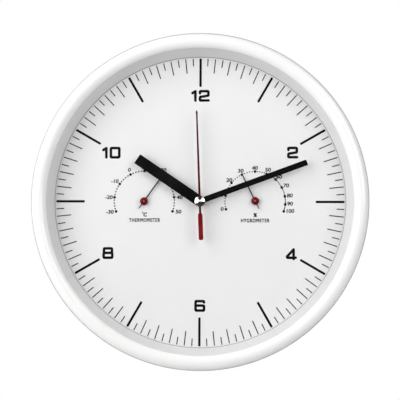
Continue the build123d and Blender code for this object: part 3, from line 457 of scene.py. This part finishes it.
def clear_pane(name):
    """Flat clear glass that lets the lamps through to the dial."""
    material = bpy.data.materials.new(name)
    material.use_nodes = True
    tree = material.node_tree
    shader = tree.nodes["Principled BSDF"]
    shader.inputs["Base Color"].default_value = (1.0, 1.0, 1.0, 1.0)
    shader.inputs["Roughness"].default_value = 0.02
    shader.inputs["IOR"].default_value = 1.5
    shader.inputs["Transmission Weight"].default_value = 1.0
    path = put(tree, "ShaderNodeLightPath", {})
    passing = math_node(tree, "MAXIMUM", path.outputs["Is Shadow Ray"],
                        path.outputs["Is Diffuse Ray"])
    passing = math_node(tree, "MAXIMUM", passing, path.outputs["Is Glossy Ray"])
    through = put(tree, "ShaderNodeBsdfTransparent", {"Color": (0.96, 0.96, 0.96, 1.0)})
    both = put(tree, "ShaderNodeMixShader",
               {0: passing, 1: shader.outputs[0], 2: through.outputs[0]})
    tree.links.new(both.outputs[0], tree.nodes["Material Output"].inputs["Surface"])
    return material


case_gloss = surface("glossy white case", (0.835, 0.835, 0.83), 0.16, 9.0, 0.012, 0.03)
ring_gloss = surface("glossy white ring", (0.715, 0.715, 0.715), 0.03, 9.0, 0.012, 0.01, 900.0,
                     0.000002)
# Painted shade: a dark outline on the outer edge of the case's front roll
paint_front_roll_edge_shade(case_gloss)
# Painted shadow: a thin dark line where the inner ring stands on the dial
paint_ring_foot_shadow(ring_gloss)
dial_print_paper = surface("dial paper", (0.862, 0.862, 0.862), 0.55, 25.0, 0.015, 0.05, 600.0,
                           0.00012)
dial_board_grey = surface("dial board", (0.62, 0.62, 0.60), 0.6, 30.0, 0.04)
cover_plastic = surface("back cover plastic", (0.55, 0.55, 0.54), 0.45, 25.0, 0.04, 0.06,
                        600.0, 0.00006)
screw_zinc = surface("zinc screw", (0.62, 0.62, 0.60), 0.32, 300.0, 0.1, 0.1, Metallic=1.0)
movement_plastic = surface("movement plastic", (0.035, 0.035, 0.037), 0.4, 60.0, 0.1, 0.08)
turned_brass = surface("turned brass", (0.72, 0.53, 0.22), 0.28, 200.0, 0.06, 0.08, Metallic=1.0)
soft_rubber = surface("black rubber", (0.03, 0.03, 0.03), 0.8, 120.0, 0.15, 0.08)
bobbin_plastic = surface("bobbin plastic", (0.75, 0.73, 0.66), 0.4, 150.0, 0.04)
copper_coil = surface("copper winding", (0.72, 0.30, 0.13), 0.3, 400.0, 0.12, 0.1, Metallic=1.0)
stator_metal = surface("stator iron", (0.42, 0.42, 0.43), 0.38, 200.0, 0.08, 0.08, Metallic=1.0)
board_lacquer = surface("board lacquer", (0.02, 0.16, 0.06), 0.35, 150.0, 0.12, 0.08)
can_metal = surface("crystal can", (0.70, 0.70, 0.72), 0.25, 300.0, 0.06, 0.06, Metallic=1.0)
contact_plate = surface("contact plate", (0.72, 0.71, 0.66), 0.3, 200.0, 0.08, 0.08, Metallic=1.0)
cell_sleeve = surface("cell sleeve", (0.05, 0.10, 0.32), 0.3, 80.0, 0.08, 0.06)
rotor_magnet = surface("rotor magnet", (0.09, 0.09, 0.095), 0.5, 200.0, 0.1, 0.08)
wheel_resin = surface("wheel resin", (0.80, 0.78, 0.70), 0.42, 200.0, 0.04, 0.06)
knob_plastic = surface("knob plastic", (0.04, 0.04, 0.042), 0.45, 200.0, 0.1, 0.08)
hand_lacquer = surface("black hand lacquer", (0.005, 0.005, 0.005), 0.2, 60.0, 0.15, 0.04)
red_lacquer = surface("red hand lacquer", (0.20, 0.005, 0.011), 0.25, 60.0, 0.08, 0.05,
                      Specular_IOR_Level=0.3)
# Painted shade: the blade of the second hand is darker red than its weight
paint_blade_shade(red_lacquer)
needle_lacquer = surface("dark red needle lacquer", (0.05, 0.003, 0.006), 0.3, 60.0, 0.1, 0.05,
                         Specular_IOR_Level=0.3)
spun_metal = surface("spun cap metal", (0.78, 0.77, 0.78), 0.13, 300.0, 0.04, 0.03, Metallic=1.0)
cup_plastic = surface("sensor cup plastic", (0.70, 0.69, 0.66), 0.5, 60.0, 0.04)
strip_alloy = surface("two-metal strip", (0.66, 0.58, 0.42), 0.3, 200.0, 0.1, 0.08, Metallic=1.0)
# Painted reflection: the pin's metal is tinted pink for the red hub that it reflects
pin_metal_with_painted_reflection = surface("pin with painted pink reflection", (0.95, 0.45, 0.42), 0.36, 400.0, 0.06, 0.05, Metallic=1.0)
hub_lacquer = surface("red hub lacquer", (0.135, 0.004, 0.006), 0.2, 60.0, 0.06, 0.04,
                      Specular_IOR_Level=0.15)
printed_black = surface("black print", (0.005, 0.005, 0.005), 0.55, 200.0, 0.2, 0.08,
                        Specular_IOR_Level=0.08)
pane = clear_pane("clear glass")

SLOT_FINISH = {
    "case_white": case_gloss, "clear_glass": pane, "ring_white": ring_gloss,
    "dial_paper": dial_print_paper, "dial_board": dial_board_grey, "cover_grey": cover_plastic,
    "screw_steel": screw_zinc, "movement_black": movement_plastic, "brass": turned_brass,
    "rubber": soft_rubber, "bobbin_white": bobbin_plastic, "copper_wire": copper_coil,
    "stator_iron": stator_metal, "board_green": board_lacquer, "crystal_can": can_metal,
    "contact_metal": contact_plate, "cell_wrap": cell_sleeve, "rotor_dark": rotor_magnet,
    "wheel_plastic": wheel_resin, "knob_black": knob_plastic, "hand_black": hand_lacquer,
    "collet_brass": turned_brass, "hand_red": red_lacquer, "cap_metal": spun_metal,
    "sensor_cup": cup_plastic, "strip_metal": strip_alloy, "pin_steel": pin_metal_with_painted_reflection,
    "hub_red": hub_lacquer,
}
for node in nodes.values():
    for holder in node.material_slots:
        holder.material = SLOT_FINISH[holder.material.name.split(".")[0]]


# Case ring and inner ring

def arc(centre, radius, start, end, steps):
    """Points of an arc in radius and height, angles in degrees from the outward direction."""
    turns = [math.radians(start + (end - start) * index / steps) for index in range(steps + 1)]
    return [(centre[0] + radius * math.cos(t), centre[1] + radius * math.sin(t)) for t in turns]


def turned(points, finish, steps=240, loop=True):
    """A turned mesh from points of radius and height, in place."""
    profile = line_mesh([(radius, -height) for radius, height in points], loop)
    mesh = grown(turning_tree, profile, finish, steps=steps, rail_radius=10.0)
    return stood(rounded(closed(mesh)))


case_profile = [
    *arc((CROWN_RADIUS, CASE_DEPTH - CROWN_INSET), CROWN_INSET, 0, 90, 16),
    *arc((CROWN_RADIUS, CASE_DEPTH - LIP_ROLL), LIP_ROLL, 90, 180, 14)[1:],
    (LIP_RADIUS, GLASS_FRONT), (RIB_INNER, GLASS_FRONT), (RIB_INNER, RIB_END),
    (RIB_OUTER, RIB_END), (RIB_OUTER, CORE_TOP), (CORE_RADIUS, CORE_TOP),
    (CASE_RADIUS - CASE_WALL, CASE_DEPTH - CROWN_INSET), (REAR_RADIUS - CASE_WALL, 0),
    (REAR_RADIUS, 0),
]
case_mesh = turned(case_profile, case_gloss)
piece("case_ring", case_mesh, "case", "case_white", case_gloss, "frame")

# Count, angle of the first one, height of the lower end
BOSSES = {"cover_screw_bosses": (6, 90.0, 5.2), "dial_screw_bosses": (4, 45.0, 26.1)}
WEB_WIDTH = 2.0
WEB_INSET = 0.8
for name, (count, first, low) in BOSSES.items():
    bosses = grown(boss_tree, line_mesh([(0, 0), (1, 0)]), case_gloss, count=count,
                   first_turn=math.radians(first), circle=BOSS_CIRCLE, boss_radius=BOSS_RADIUS,
                   hole_radius=SHANK_RADIUS, low=low, high=BOSS_TOP, web_width=WEB_WIDTH,
                   web_reach=REAR_RADIUS - WEB_INSET)
    piece(name, stood(rounded(closed(bosses))), "case", "case_white", case_gloss)

ring_slope = (RING_TOP_RADIUS - DIAL_OPENING) / (GLASS_BACK - DIAL_FRONT)
RING_PLAY = 0.3
ring_profile = [
    (DIAL_OPENING, DIAL_FRONT), (DIAL_OPENING + RING_FOOT_WIDTH, DIAL_FRONT),
    (DIAL_OPENING + RING_FOOT_WIDTH, DIAL_FRONT + RING_FOOT),
    (DIAL_OPENING + ring_slope * RING_FOOT + RING_WALL, DIAL_FRONT + RING_FOOT),
    (DIAL_OPENING + ring_slope * (RING_FLANGE_BOTTOM - DIAL_FRONT) + RING_WALL,
     RING_FLANGE_BOTTOM),
    (RIB_INNER - RING_PLAY, RING_FLANGE_BOTTOM), (RIB_INNER - RING_PLAY, GLASS_BACK),
    (RING_TOP_RADIUS, GLASS_BACK),
]
piece("slope_ring", turned(ring_profile, ring_gloss), "case", "ring_white", ring_gloss,
      "inner_ring")


# Spun cap over the hands, with its fine turned grooves
CAP_BOTTOM = 36.1
CAP_RADIUS = 4.5
CAP_CENTRE_RISE = 1.75
CAP_EDGE_RISE = 0.35
GROOVE_PITCH = 0.16
GROOVE_DEPTH = 0.005


def cap_height(radius):
    """A low cone with a rounded rim, and grooves all the way in."""
    cone = CAP_CENTRE_RISE - (CAP_CENTRE_RISE - CAP_EDGE_RISE) * (radius / CAP_RADIUS) ** 1.05
    groove = GROOVE_DEPTH * (1 + math.cos(2 * math.pi * radius / GROOVE_PITCH)) / 2
    return CAP_BOTTOM + cone - groove


CAP_LIFT = 0.05
CAP_ROLL = 0.15
CAP_STEP = 0.02
cap_profile = [(0, CAP_BOTTOM + CAP_LIFT), (CAP_RADIUS - CAP_ROLL - 0.1, CAP_BOTTOM + CAP_LIFT)]
cap_profile += arc((CAP_RADIUS - CAP_ROLL, CAP_BOTTOM + CAP_LIFT + CAP_ROLL), CAP_ROLL, -90, 0, 4)
cap_profile += [(CAP_RADIUS - CAP_STEP * index, cap_height(CAP_RADIUS - CAP_STEP * index))
                for index in range(2, round(CAP_RADIUS / CAP_STEP) - 2)]
cap_profile.append((0, cap_height(0.0)))
piece("spun_cap", turned(cap_profile, spun_metal, 96, False), "second_hand", "cap_metal",
      spun_metal, "hub_cap")


# Hands with broken edges

def cut_plate(right_side, hole, low, high, edge):
    """A flat plate from the right half of its outline, its hole on the axis and its upper
    edge broken."""
    work = bmesh.new()
    inside = arc((0.0, 0.0), hole, 90, -90, 16)
    path = right_side + inside
    right = [work.verts.new((max(x, 0.0) if abs(x) > 1e-6 else 0.0, y, low)) for x, y in path]
    left = [corner if corner.co.x == 0.0 else work.verts.new((-corner.co.x, corner.co.y, low))
            for corner in right]
    halves = [work.faces.new(right), work.faces.new(left[::-1])]
    raised = bmesh.ops.extrude_face_region(work, geom=halves)["geom"]
    upper = [v for v in raised if isinstance(v, bmesh.types.BMVert)]
    bmesh.ops.translate(work, verts=upper, vec=(0, 0, high - low))
    bmesh.ops.recalc_face_normals(work, faces=work.faces)
    rim = [e for e in work.edges if all(v in upper for v in e.verts)
           and any(abs(f.normal.z) < 0.5 for f in e.link_faces)]
    bmesh.ops.bevel(work, geom=rim, offset=edge, segments=2, affect="EDGES", profile=0.5)
    mesh = bpy.data.meshes.new("plate")
    work.to_mesh(mesh)
    work.free()
    return rounded(closed(mesh), 20.0)


def set_hand(mesh, x, y, angle):
    """Turn a hand to its clock angle and put it on its axis."""
    mesh.transform(Matrix.Translation((x, y, 0)) @ Matrix.Rotation(math.radians(-angle), 4, "Z"))
    return stood(mesh)


HAND_BOSS = 4.7
HAND_THICKNESS = 0.8
HAND_CORNER = 0.35
HAND_EDGE = 0.15
# Half width, length, radius of the hole, height of the underside, clock angle
BLACK_HANDS = {"hour_hand": (4.8, 67.9, 3.55, 32.0, -55.6),
               "minute_hand": (2.6, 101.5, 2.6, 33.8, 70.1)}
for name, (half, length, hole, low, angle) in BLACK_HANDS.items():
    widest = math.degrees(math.acos(min(1.0, half / HAND_BOSS)))
    blade_side = [*arc((0.0, 0.0), HAND_BOSS, -90, widest, 16), (half, HAND_BOSS),
                  (half, length - HAND_CORNER), (half - HAND_CORNER, length), (0.0, length)]
    blade = cut_plate(blade_side, hole, low, low + HAND_THICKNESS, HAND_EDGE)
    piece(name + "_enamel", set_hand(blade, 0, 0, angle), name, "hand_black", hand_lacquer, name)

SECOND_LENGTH = 81.9
SECOND_BOSS = 3.0
SECOND_EDGE = 0.12
WEIGHT_END = -34.6
WEIGHT_HALF = 2.05
WEIGHT_CORNER = 1.4
NECK_HALF = 1.0
# Half width of the blade at a height over the axis, up to the small swelling before the tip
BLADE_STATIONS = [(1.02, 4.0), (0.97, 19.5), (0.78, 64.0), (0.72, 77.4), (0.95, 79.3)]
# From the end of the weight, up its right side, round the boss and along the blade to the tip
second_side = [(0.0, WEIGHT_END),
               *arc((WEIGHT_HALF - WEIGHT_CORNER, WEIGHT_END + WEIGHT_CORNER), WEIGHT_CORNER,
                    -90, 0, 6),
               (WEIGHT_HALF, WEIGHT_TOP - 1.1), (WEIGHT_HALF - 0.35, WEIGHT_TOP + 0.3),
               (NECK_HALF, WEIGHT_TOP + 0.9), *arc((0.0, 0.0), SECOND_BOSS, -70, 70, 16),
               *BLADE_STATIONS, (0.0, SECOND_LENGTH)]
SECOND_HOLE = 1.5
SECOND_THICKNESS = 0.5
SECOND_ANGLE = -1.95
second_plate = cut_plate(second_side, SECOND_HOLE, CAP_BOTTOM - SECOND_THICKNESS, CAP_BOTTOM,
                         SECOND_EDGE)
piece("second_hand_enamel", set_hand(second_plate, 0, 0, SECOND_ANGLE), "second_hand",
      "hand_red", red_lacquer, "second_hand")

NEEDLE_LENGTH = 26.0
NEEDLE_TAIL = 8.0
NEEDLE_BOSS = 2.2
NEEDLE_HOLE = 0.6
NEEDLE_EDGE = 0.1
NEEDLE_LIFT = 1.6
NEEDLE_THICKNESS = 0.4
# Place across and clock angle
NEEDLES = {"thermometer": (THERMOMETER_X, 35.6), "hygrometer": (HYGROMETER_X, -26.0)}
for name, (x, angle) in NEEDLES.items():
    # From the short end, round the boss and on to the tip
    needle_side = [(0.0, -NEEDLE_TAIL), (0.35, 0.2 - NEEDLE_TAIL), (0.5, -3.0),
                   *arc((0.0, 0.0), NEEDLE_BOSS, -70, 70, 12), (0.58, 4.0),
                   (0.52, NEEDLE_LENGTH - 1.5), (0.0, NEEDLE_LENGTH)]
    low = DIAL_FRONT + NEEDLE_LIFT
    needle = cut_plate(needle_side, NEEDLE_HOLE, low, low + NEEDLE_THICKNESS, NEEDLE_EDGE)
    piece(name + "_needle", set_hand(needle, x, SENSOR_Y, angle), name + "_pointer",
          "hand_red", needle_lacquer, name + "_pointer")


# Printing on the dial

INK = 0.05
INK_BASE = DIAL_FRONT - 0.01


def clock_point(radius, angle, centre=(0.0, 0.0)):
    """A point at a clock angle, clockwise from 12."""
    turn = math.radians(angle)
    return (centre[0] + radius * math.sin(turn), centre[1] + radius * math.cos(turn))


def dial_bars(name, count, first, left_out, length, width, corner):
    """Printed bars that end at the foot of the inner ring."""
    mesh = grown(dial_round_tree, line_mesh([(0, 0), (1, 0)]), printed_black,
                 count=count, first=first, left_out_every=left_out,
                 middle_radius=BAR_OUTER - length / 2, length=length, width=width,
                 thickness=INK, corner=corner, height=INK_BASE, turn=math.radians(-PRINT_TURN))
    return piece(name, stood(mesh), "case", "dial_paper", printed_black)


# Millimetres on the dial for one pixel of the photograph
PX = 0.8949
BAR_OUTER = 143.8 * PX
# Name, count, number of the first, which are missing, length, width, corner radius
dial_bars("hour_bars", 12, 1, 100, 28.6 * PX, 2.1, 0.6)
dial_bars("minute_bars", 60, 0, 5, 14.4 * PX, 0.9, 0.3)
dial_bars("half_minute_bars", 120, 0, 2, 7.7 * PX, 0.9, 0.3)

# Hour numbers: strokes in units of their height, from the lower left corner
DIGITS = {
    "0": [([(0, 0), (0.9, 0), (0.9, 1), (0, 1)], True)],
    "1": [([(0, 0.79), (0.32, 1.0)], False), ([(0.32, 1.0), (0.32, 0)], False)],
    "2": [([(0, 0.78), (0, 1), (0.9, 1), (0.9, 0.52), (0, 0.38), (0, 0), (0.92, 0)], False)],
    "4": [([(0.76, -0.02), (0.76, 1.0)], False),
          ([(0.76, 1.0), (-0.06, 0.11), (0.98, 0.11)], False)],
    "6": [([(0.9, 0.86), (0.88, 1), (0, 1), (0, 0), (0.9, 0), (0.9, 0.53), (0, 0.53)], False)],
    "8": [([(0.03, 0.52), (0.89, 0.52), (0.89, 1), (0.03, 1)], True),
          ([(0, 0), (0.92, 0), (0.92, 0.52), (0, 0.52)], True)],
}

DIGIT_GAP = 0.49
NUMBER_HEIGHT = 8.35
NUMBER_STROKE = 2.35
NUMBER_CORNER = 0.75


def digit_width(digit):
    return max(x for line, _ in DIGITS[digit] for x, _ in line)


def number_lines(text, middle):
    """The strokes of a number, centred on a point."""
    width = sum(digit_width(c) for c in text) + DIGIT_GAP * (len(text) - 1)
    across = -width / 2
    lines = []
    for digit in text:
        for points, loop in DIGITS[digit]:
            lines.append(([(middle[0] + (across + x) * NUMBER_HEIGHT,
                            middle[1] + (y - 0.5) * NUMBER_HEIGHT) for x, y in points], loop))
        across += digit_width(digit) + DIGIT_GAP
    return lines


def joined_lines(lines):
    """One mesh of edges from several lines, set a hair apart where strokes cross."""
    points, edges = [], []
    for place, (line, loop) in enumerate(lines):
        first = len(points)
        points += [(x, y, 0.004 * (place % 3)) for x, y in line]
        edges += [(first + i, first + i + 1) for i in range(len(line) - 1)]
        if loop:
            edges.append((first + len(line) - 1, first))
    mesh = bpy.data.meshes.new("lines")
    mesh.from_pydata(points, edges, [])
    return mesh


# Where the middle of each number is
HOUR_NUMBERS = {"12": (0.45, 95.0), "2": (82.8, 43.7), "4": (81.0, -46.9),
                "6": (-0.18, -92.8), "8": (-82.2, -45.8), "10": (-79.5, 44.1)}
number_strokes = []
for text, middle in HOUR_NUMBERS.items():
    number_strokes += number_lines(text, middle)
number_mesh = grown(stroke_tree, joined_lines(number_strokes), printed_black,
                    corner=NUMBER_CORNER, width=NUMBER_STROKE, thickness=INK)
number_mesh.transform(Matrix.Translation((0, 0, INK_BASE + INK / 2)))
piece("hour_numbers", stood(number_mesh), "case", "dial_paper", printed_black)

# Scales of the two small dials
SCALE_RADIUS = 26.9
THERMOMETER_CENTRE = (-49.8, 0.55)
HYGROMETER_CENTRE = (49.2, -0.1)
LARGE_DOT = 2.5
TOP_TEMPERATURE = 10.0
TURN_PER_DEGREE = 2.75
# Clock angles of each ten per cent
HYGROMETER_ANGLES = [-104.5, -78.5, -51.5, -26.0, 0.0, 22.5, 43.0, 62.0, 80.0, 95.5, 109.0]


def thermometer_angle(degrees):
    return (degrees - TOP_TEMPERATURE) * TURN_PER_DEGREE


def hygrometer_angle(percent):
    step = min(int(percent // 10), 9)
    share = percent / 10 - step
    return HYGROMETER_ANGLES[step] * (1 - share) + HYGROMETER_ANGLES[step + 1] * share


def scale_dots(name, places, centre, size):
    points = [(*place, INK_BASE) for place in places]
    mesh = bpy.data.meshes.new("places")
    mesh.from_pydata(points, [], [])
    dots = grown(mark_tree, mesh, printed_black, length=size, width=size, thickness=INK,
                 corner=size / 2, centre=(*centre, 0.0))
    return piece(name, stood(dots), "case", "dial_paper", printed_black)


def scale(name, centre, low, high, angle_at, small):
    """Large dots at each ten and four small ones between."""
    tens = [clock_point(SCALE_RADIUS, angle_at(v), centre) for v in range(low, high + 1, 10)]
    twos = [clock_point(SCALE_RADIUS, angle_at(v), centre)
            for v in range(low, high + 1, 2) if v % 10]
    scale_dots(name + "_large_dots", tens, centre, LARGE_DOT)
    scale_dots(name + "_small_dots", twos, centre, small)


scale("thermometer", THERMOMETER_CENTRE, -30, 50, thermometer_angle, 1.4)
scale("hygrometer", HYGROMETER_CENTRE, 0, 100, hygrometer_angle, 1.2)


def print_point(x, y):
    """A place on the dial in millimetres, from the photograph's pixels."""
    return ((x - 200.4) * PX, (201.8 - y) * PX)


def printed_words(name, texts, size, slant, weight, smear, spacing=1.0, squeeze=1.0):
    """Small printed lettering at its middles. Weight and smear make it bolder, smear by four
    copies a little apart, and squeeze narrows or widens it."""
    work = bmesh.new()
    for text, middle in texts:
        font = bpy.data.curves.new("letters", "FONT")
        font.body = text
        font.size = size
        font.shear = slant
        font.offset = weight
        font.space_character = spacing
        font.extrude = INK / 2
        font.resolution_u = 6
        holder = bpy.data.objects.new("letters", font)
        bpy.context.scene.collection.objects.link(holder)
        seen = holder.evaluated_get(bpy.context.evaluated_depsgraph_get())
        mesh = bpy.data.meshes.new_from_object(seen)
        bpy.data.objects.remove(holder)
        xs = [v.co.x for v in mesh.vertices]
        ys = [v.co.y for v in mesh.vertices]
        mesh.transform(Matrix.Translation((-(min(xs) + max(xs)) / 2, -(min(ys) + max(ys)) / 2, 0)))
        mesh.transform(Matrix.Diagonal((squeeze, 1.0, 1.0, 1.0)))
        mesh.transform(Matrix.Translation((*middle, INK_BASE + INK / 2)))
        copies = ((-1, -1), (1, -1), (-1, 1), (1, 1)) if smear else ((0, 0),)
        for layer, (across, up) in enumerate(copies):
            shift = Vector((across * smear, up * smear, 0.003 * layer))
            mesh.transform(Matrix.Translation(shift))
            work.from_mesh(mesh)
            mesh.transform(Matrix.Translation(-shift))
    whole = bpy.data.meshes.new(name)
    work.to_mesh(whole)
    work.free()
    return piece(name, stood(whole), "case", "dial_paper", printed_black)


SCALE_LETTERS = {"size": 4.6, "slant": 0.08, "weight": 0.15, "smear": 0.0, "squeeze": 1.13}
SIGN_LETTERS = {"size": 4.6, "slant": 0.15, "weight": 0.0, "smear": 0.2}
WORD_LETTERS = {"size": 4.4, "slant": 0.0, "weight": -0.02, "smear": 0.165, "spacing": 1.2,
                "squeeze": 0.78}
printed_words("thermometer_numbers", [
    ("-30", print_point(110.3, 211.8)), ("-20", print_point(109.3, 197.1)),
    ("-10", print_point(115.1, 181.1)), ("0", print_point(129.8, 169.7)),
    ("10", print_point(144.8, 167.4)), ("20", print_point(163.9, 170.0)),
    ("30", print_point(175.0, 181.8)), ("40", print_point(180.1, 197.4)),
    ("50", print_point(178.9, 211.8))], **SCALE_LETTERS)
printed_words("hygrometer_numbers", [
    ("0", print_point(222.5, 209.2)), ("10", print_point(221.5, 195.0)),
    ("20", print_point(229.6, 180.3)), ("30", print_point(241.1, 171.1)),
    ("40", print_point(255.2, 168.2)), ("50", print_point(268.3, 170.1)),
    ("60", print_point(279.4, 177.1)), ("70", print_point(286.4, 185.9)),
    ("80", print_point(289.9, 195.9)), ("90", print_point(290.2, 204.1)),
    ("100", print_point(290.4, 211.3))], **SCALE_LETTERS)
printed_words("unit_signs", [("C", print_point(145.8, 214.6)), ("%", print_point(255.4, 215.3))],
              **SIGN_LETTERS)
DEGREE_RADIUS = 0.62
DEGREE_STROKE = 0.42
DEGREE_CENTRE = print_point(143.2, 212.7)
degree_ring = [clock_point(DEGREE_RADIUS, 30 * step, DEGREE_CENTRE) for step in range(12)]
degree_mesh = grown(stroke_tree, joined_lines([(degree_ring, True)]), printed_black, corner=0.1,
                    width=DEGREE_STROKE, thickness=INK)
degree_mesh.transform(Matrix.Translation((0, 0, INK_BASE + INK / 2)))
piece("degree_sign", stood(degree_mesh), "case", "dial_paper", printed_black)
printed_words("dial_words", [("THERMOMETER", print_point(145.0, 220.1)),
                             ("HYGROMETER", print_point(255.3, 220.8))],
              **WORD_LETTERS)


# The camera, at the photograph's viewing angle

AIM = Vector((0.00034, -0.0408, 0.00087))
AZIMUTH = math.radians(2.0)
ELEVATION = math.radians(-3.6)
DISTANCE = 1.36
LENS = 138.07
sight = Vector((math.sin(AZIMUTH) * math.cos(ELEVATION),
                -math.cos(AZIMUTH) * math.cos(ELEVATION), math.sin(ELEVATION)))
camera_data = bpy.data.cameras.new("camera")
camera_data.lens = LENS
camera_data.sensor_width = 36.0
camera_data.clip_end = 50.0
camera = bpy.data.objects.new("camera", camera_data)
camera.location = AIM + sight * DISTANCE
camera.rotation_mode = "QUATERNION"
camera.rotation_quaternion = (-sight).to_track_quat("-Z", "Y")
bpy.context.scene.collection.objects.link(camera)
bpy.context.scene.camera = camera


# Floor, backdrop, lamps and world

def flat_sheet(name, corners):
    mesh = bpy.data.meshes.new(name)
    mesh.from_pydata(corners, [], [(0, 1, 2, 3)])
    made = bpy.data.objects.new(name, mesh)
    bpy.context.scene.collection.objects.link(made)
    return made


FLOOR_HEIGHT = -0.45
FLOOR_FRONT = -0.35
FLOOR_BACK = 4.0
FLOOR_SIDE = 4.0
BACKDROP_PLACE = 3.2
BACKDROP_SIDE = 0.8
BACKDROP_TOP = 0.9
floor = flat_sheet("floor", [
    (-FLOOR_SIDE, FLOOR_FRONT, FLOOR_HEIGHT), (FLOOR_SIDE, FLOOR_FRONT, FLOOR_HEIGHT),
    (FLOOR_SIDE, FLOOR_BACK, FLOOR_HEIGHT), (-FLOOR_SIDE, FLOOR_BACK, FLOOR_HEIGHT)])
floor_paint = surface("pale floor", (0.82, 0.82, 0.81), 0.6, 2.0, 0.01)
floor.data.materials.append(floor_paint)

backdrop = flat_sheet("backdrop", [
    (-BACKDROP_SIDE, BACKDROP_PLACE, FLOOR_HEIGHT), (BACKDROP_SIDE, BACKDROP_PLACE, FLOOR_HEIGHT),
    (BACKDROP_SIDE, BACKDROP_PLACE, BACKDROP_TOP), (-BACKDROP_SIDE, BACKDROP_PLACE, BACKDROP_TOP)])
backdrop_paint = bpy.data.materials.new("white backdrop")
backdrop_paint.use_nodes = True
paint_tree = backdrop_paint.node_tree
path = put(paint_tree, "ShaderNodeLightPath", {})
seen_white = math_node(paint_tree, "MAXIMUM", path.outputs["Is Camera Ray"],
                       path.outputs["Is Transmission Ray"])
seen_white = math_node(paint_tree, "MAXIMUM", seen_white, path.outputs["Is Glossy Ray"])
glow = put(paint_tree, "ShaderNodeEmission", {"Color": (1.0, 1.0, 1.0, 1.0), "Strength": 1.0})
paint_shader = paint_tree.nodes["Principled BSDF"]
paint_shader.inputs["Base Color"].default_value = (0.8, 0.8, 0.8, 1.0)
shown = put(paint_tree, "ShaderNodeMixShader",
            {0: seen_white, 1: paint_shader.outputs[0], 2: glow.outputs[0]})
paint_tree.links.new(shown.outputs[0], paint_tree.nodes["Material Output"].inputs["Surface"])
backdrop.data.materials.append(backdrop_paint)


def soft_lamp(name, clock_angle, off_axis, distance, spread, power):
    """A square soft lamp at a clock angle and an angle off the axis of the dial."""
    turn, tilt = math.radians(clock_angle), math.radians(off_axis)
    way = Vector((math.sin(tilt) * math.sin(turn), -math.cos(tilt),
                  math.sin(tilt) * math.cos(turn)))
    lamp = bpy.data.lights.new(name, "AREA")
    lamp.size = spread * distance
    lamp.energy = power
    made = bpy.data.objects.new(name, lamp)
    made.location = way * distance
    made.rotation_mode = "QUATERNION"
    made.rotation_quaternion = (-way).to_track_quat("-Z", "Y")
    bpy.context.scene.collection.objects.link(made)


# Clock angle, angle off the axis, distance in metres, width over distance, watts
LAMPS = {"key_lamp": (285, 42, 1.6, 0.85, 20.0), "right_lamp": (64, 43, 1.6, 0.6, 11.2),
         "right_rim_lamp": (45, 70, 2.5, 0.4, 6.4), "left_rim_lamp": (325, 62, 1.4, 0.4, 4.2)}
for name, setting in LAMPS.items():
    soft_lamp(name, *setting)

# The room: dark behind the camera, pale to the left, below and behind the clock
world = bpy.data.worlds.new("studio")
bpy.context.scene.world = world
world.use_nodes = True
sky = world.node_tree
way = put(sky, "ShaderNodeTexCoord", {}).outputs["Generated"]


def side_glow(direction, strength):
    """A pale wall of the room, brightest in one direction."""
    facing = put(sky, "ShaderNodeVectorMath", {0: way, 1: direction},
                 operation="DOT_PRODUCT").outputs["Value"]
    return math_node(sky, "MULTIPLY", math_node(sky, "MAXIMUM", facing, 0.0), strength)


ROOM_LEVEL = 0.17
GLOW_LEFT = ((-1.0, 0.0, 0.0), 0.75)
GLOW_RIGHT = ((1.0, 0.0, 0.0), 0.14)
GLOW_BELOW = ((0.0, 0.0, -1.0), 0.85)
GLOW_BEHIND = ((0.0, 1.0, 0.0), 0.1)
DARK_FROM = 0.55
DARK_TO = 0.79
DARK_SHARE = 0.03
level = math_node(sky, "ADD", ROOM_LEVEL, side_glow(*GLOW_LEFT))
for glow_side in (GLOW_RIGHT, GLOW_BELOW, GLOW_BEHIND):
    level = math_node(sky, "ADD", level, side_glow(*glow_side))
dark_room = put(sky, "ShaderNodeMapRange",
                {"Value": side_glow((0.0, -1.0, 0.0), 1.0), "From Min": DARK_FROM,
                 "From Max": DARK_TO, "To Min": 1.0, "To Max": DARK_SHARE}).outputs[0]
level = math_node(sky, "MULTIPLY", level, dark_room)
sky_path = put(sky, "ShaderNodeLightPath", {})
sky_white = math_node(sky, "MAXIMUM", sky_path.outputs["Is Camera Ray"],
                      sky_path.outputs["Is Transmission Ray"])
strength = put(sky, "ShaderNodeMix", {0: sky_white, 2: level, 3: 1.0}, data_type="FLOAT")
sky.links.new(strength.outputs[0], sky.nodes["Background"].inputs["Strength"])
sky.nodes["Background"].inputs["Color"].default_value = (1.0, 1.0, 1.0, 1.0)

scene = bpy.context.scene
scene.view_settings.view_transform = "Standard"
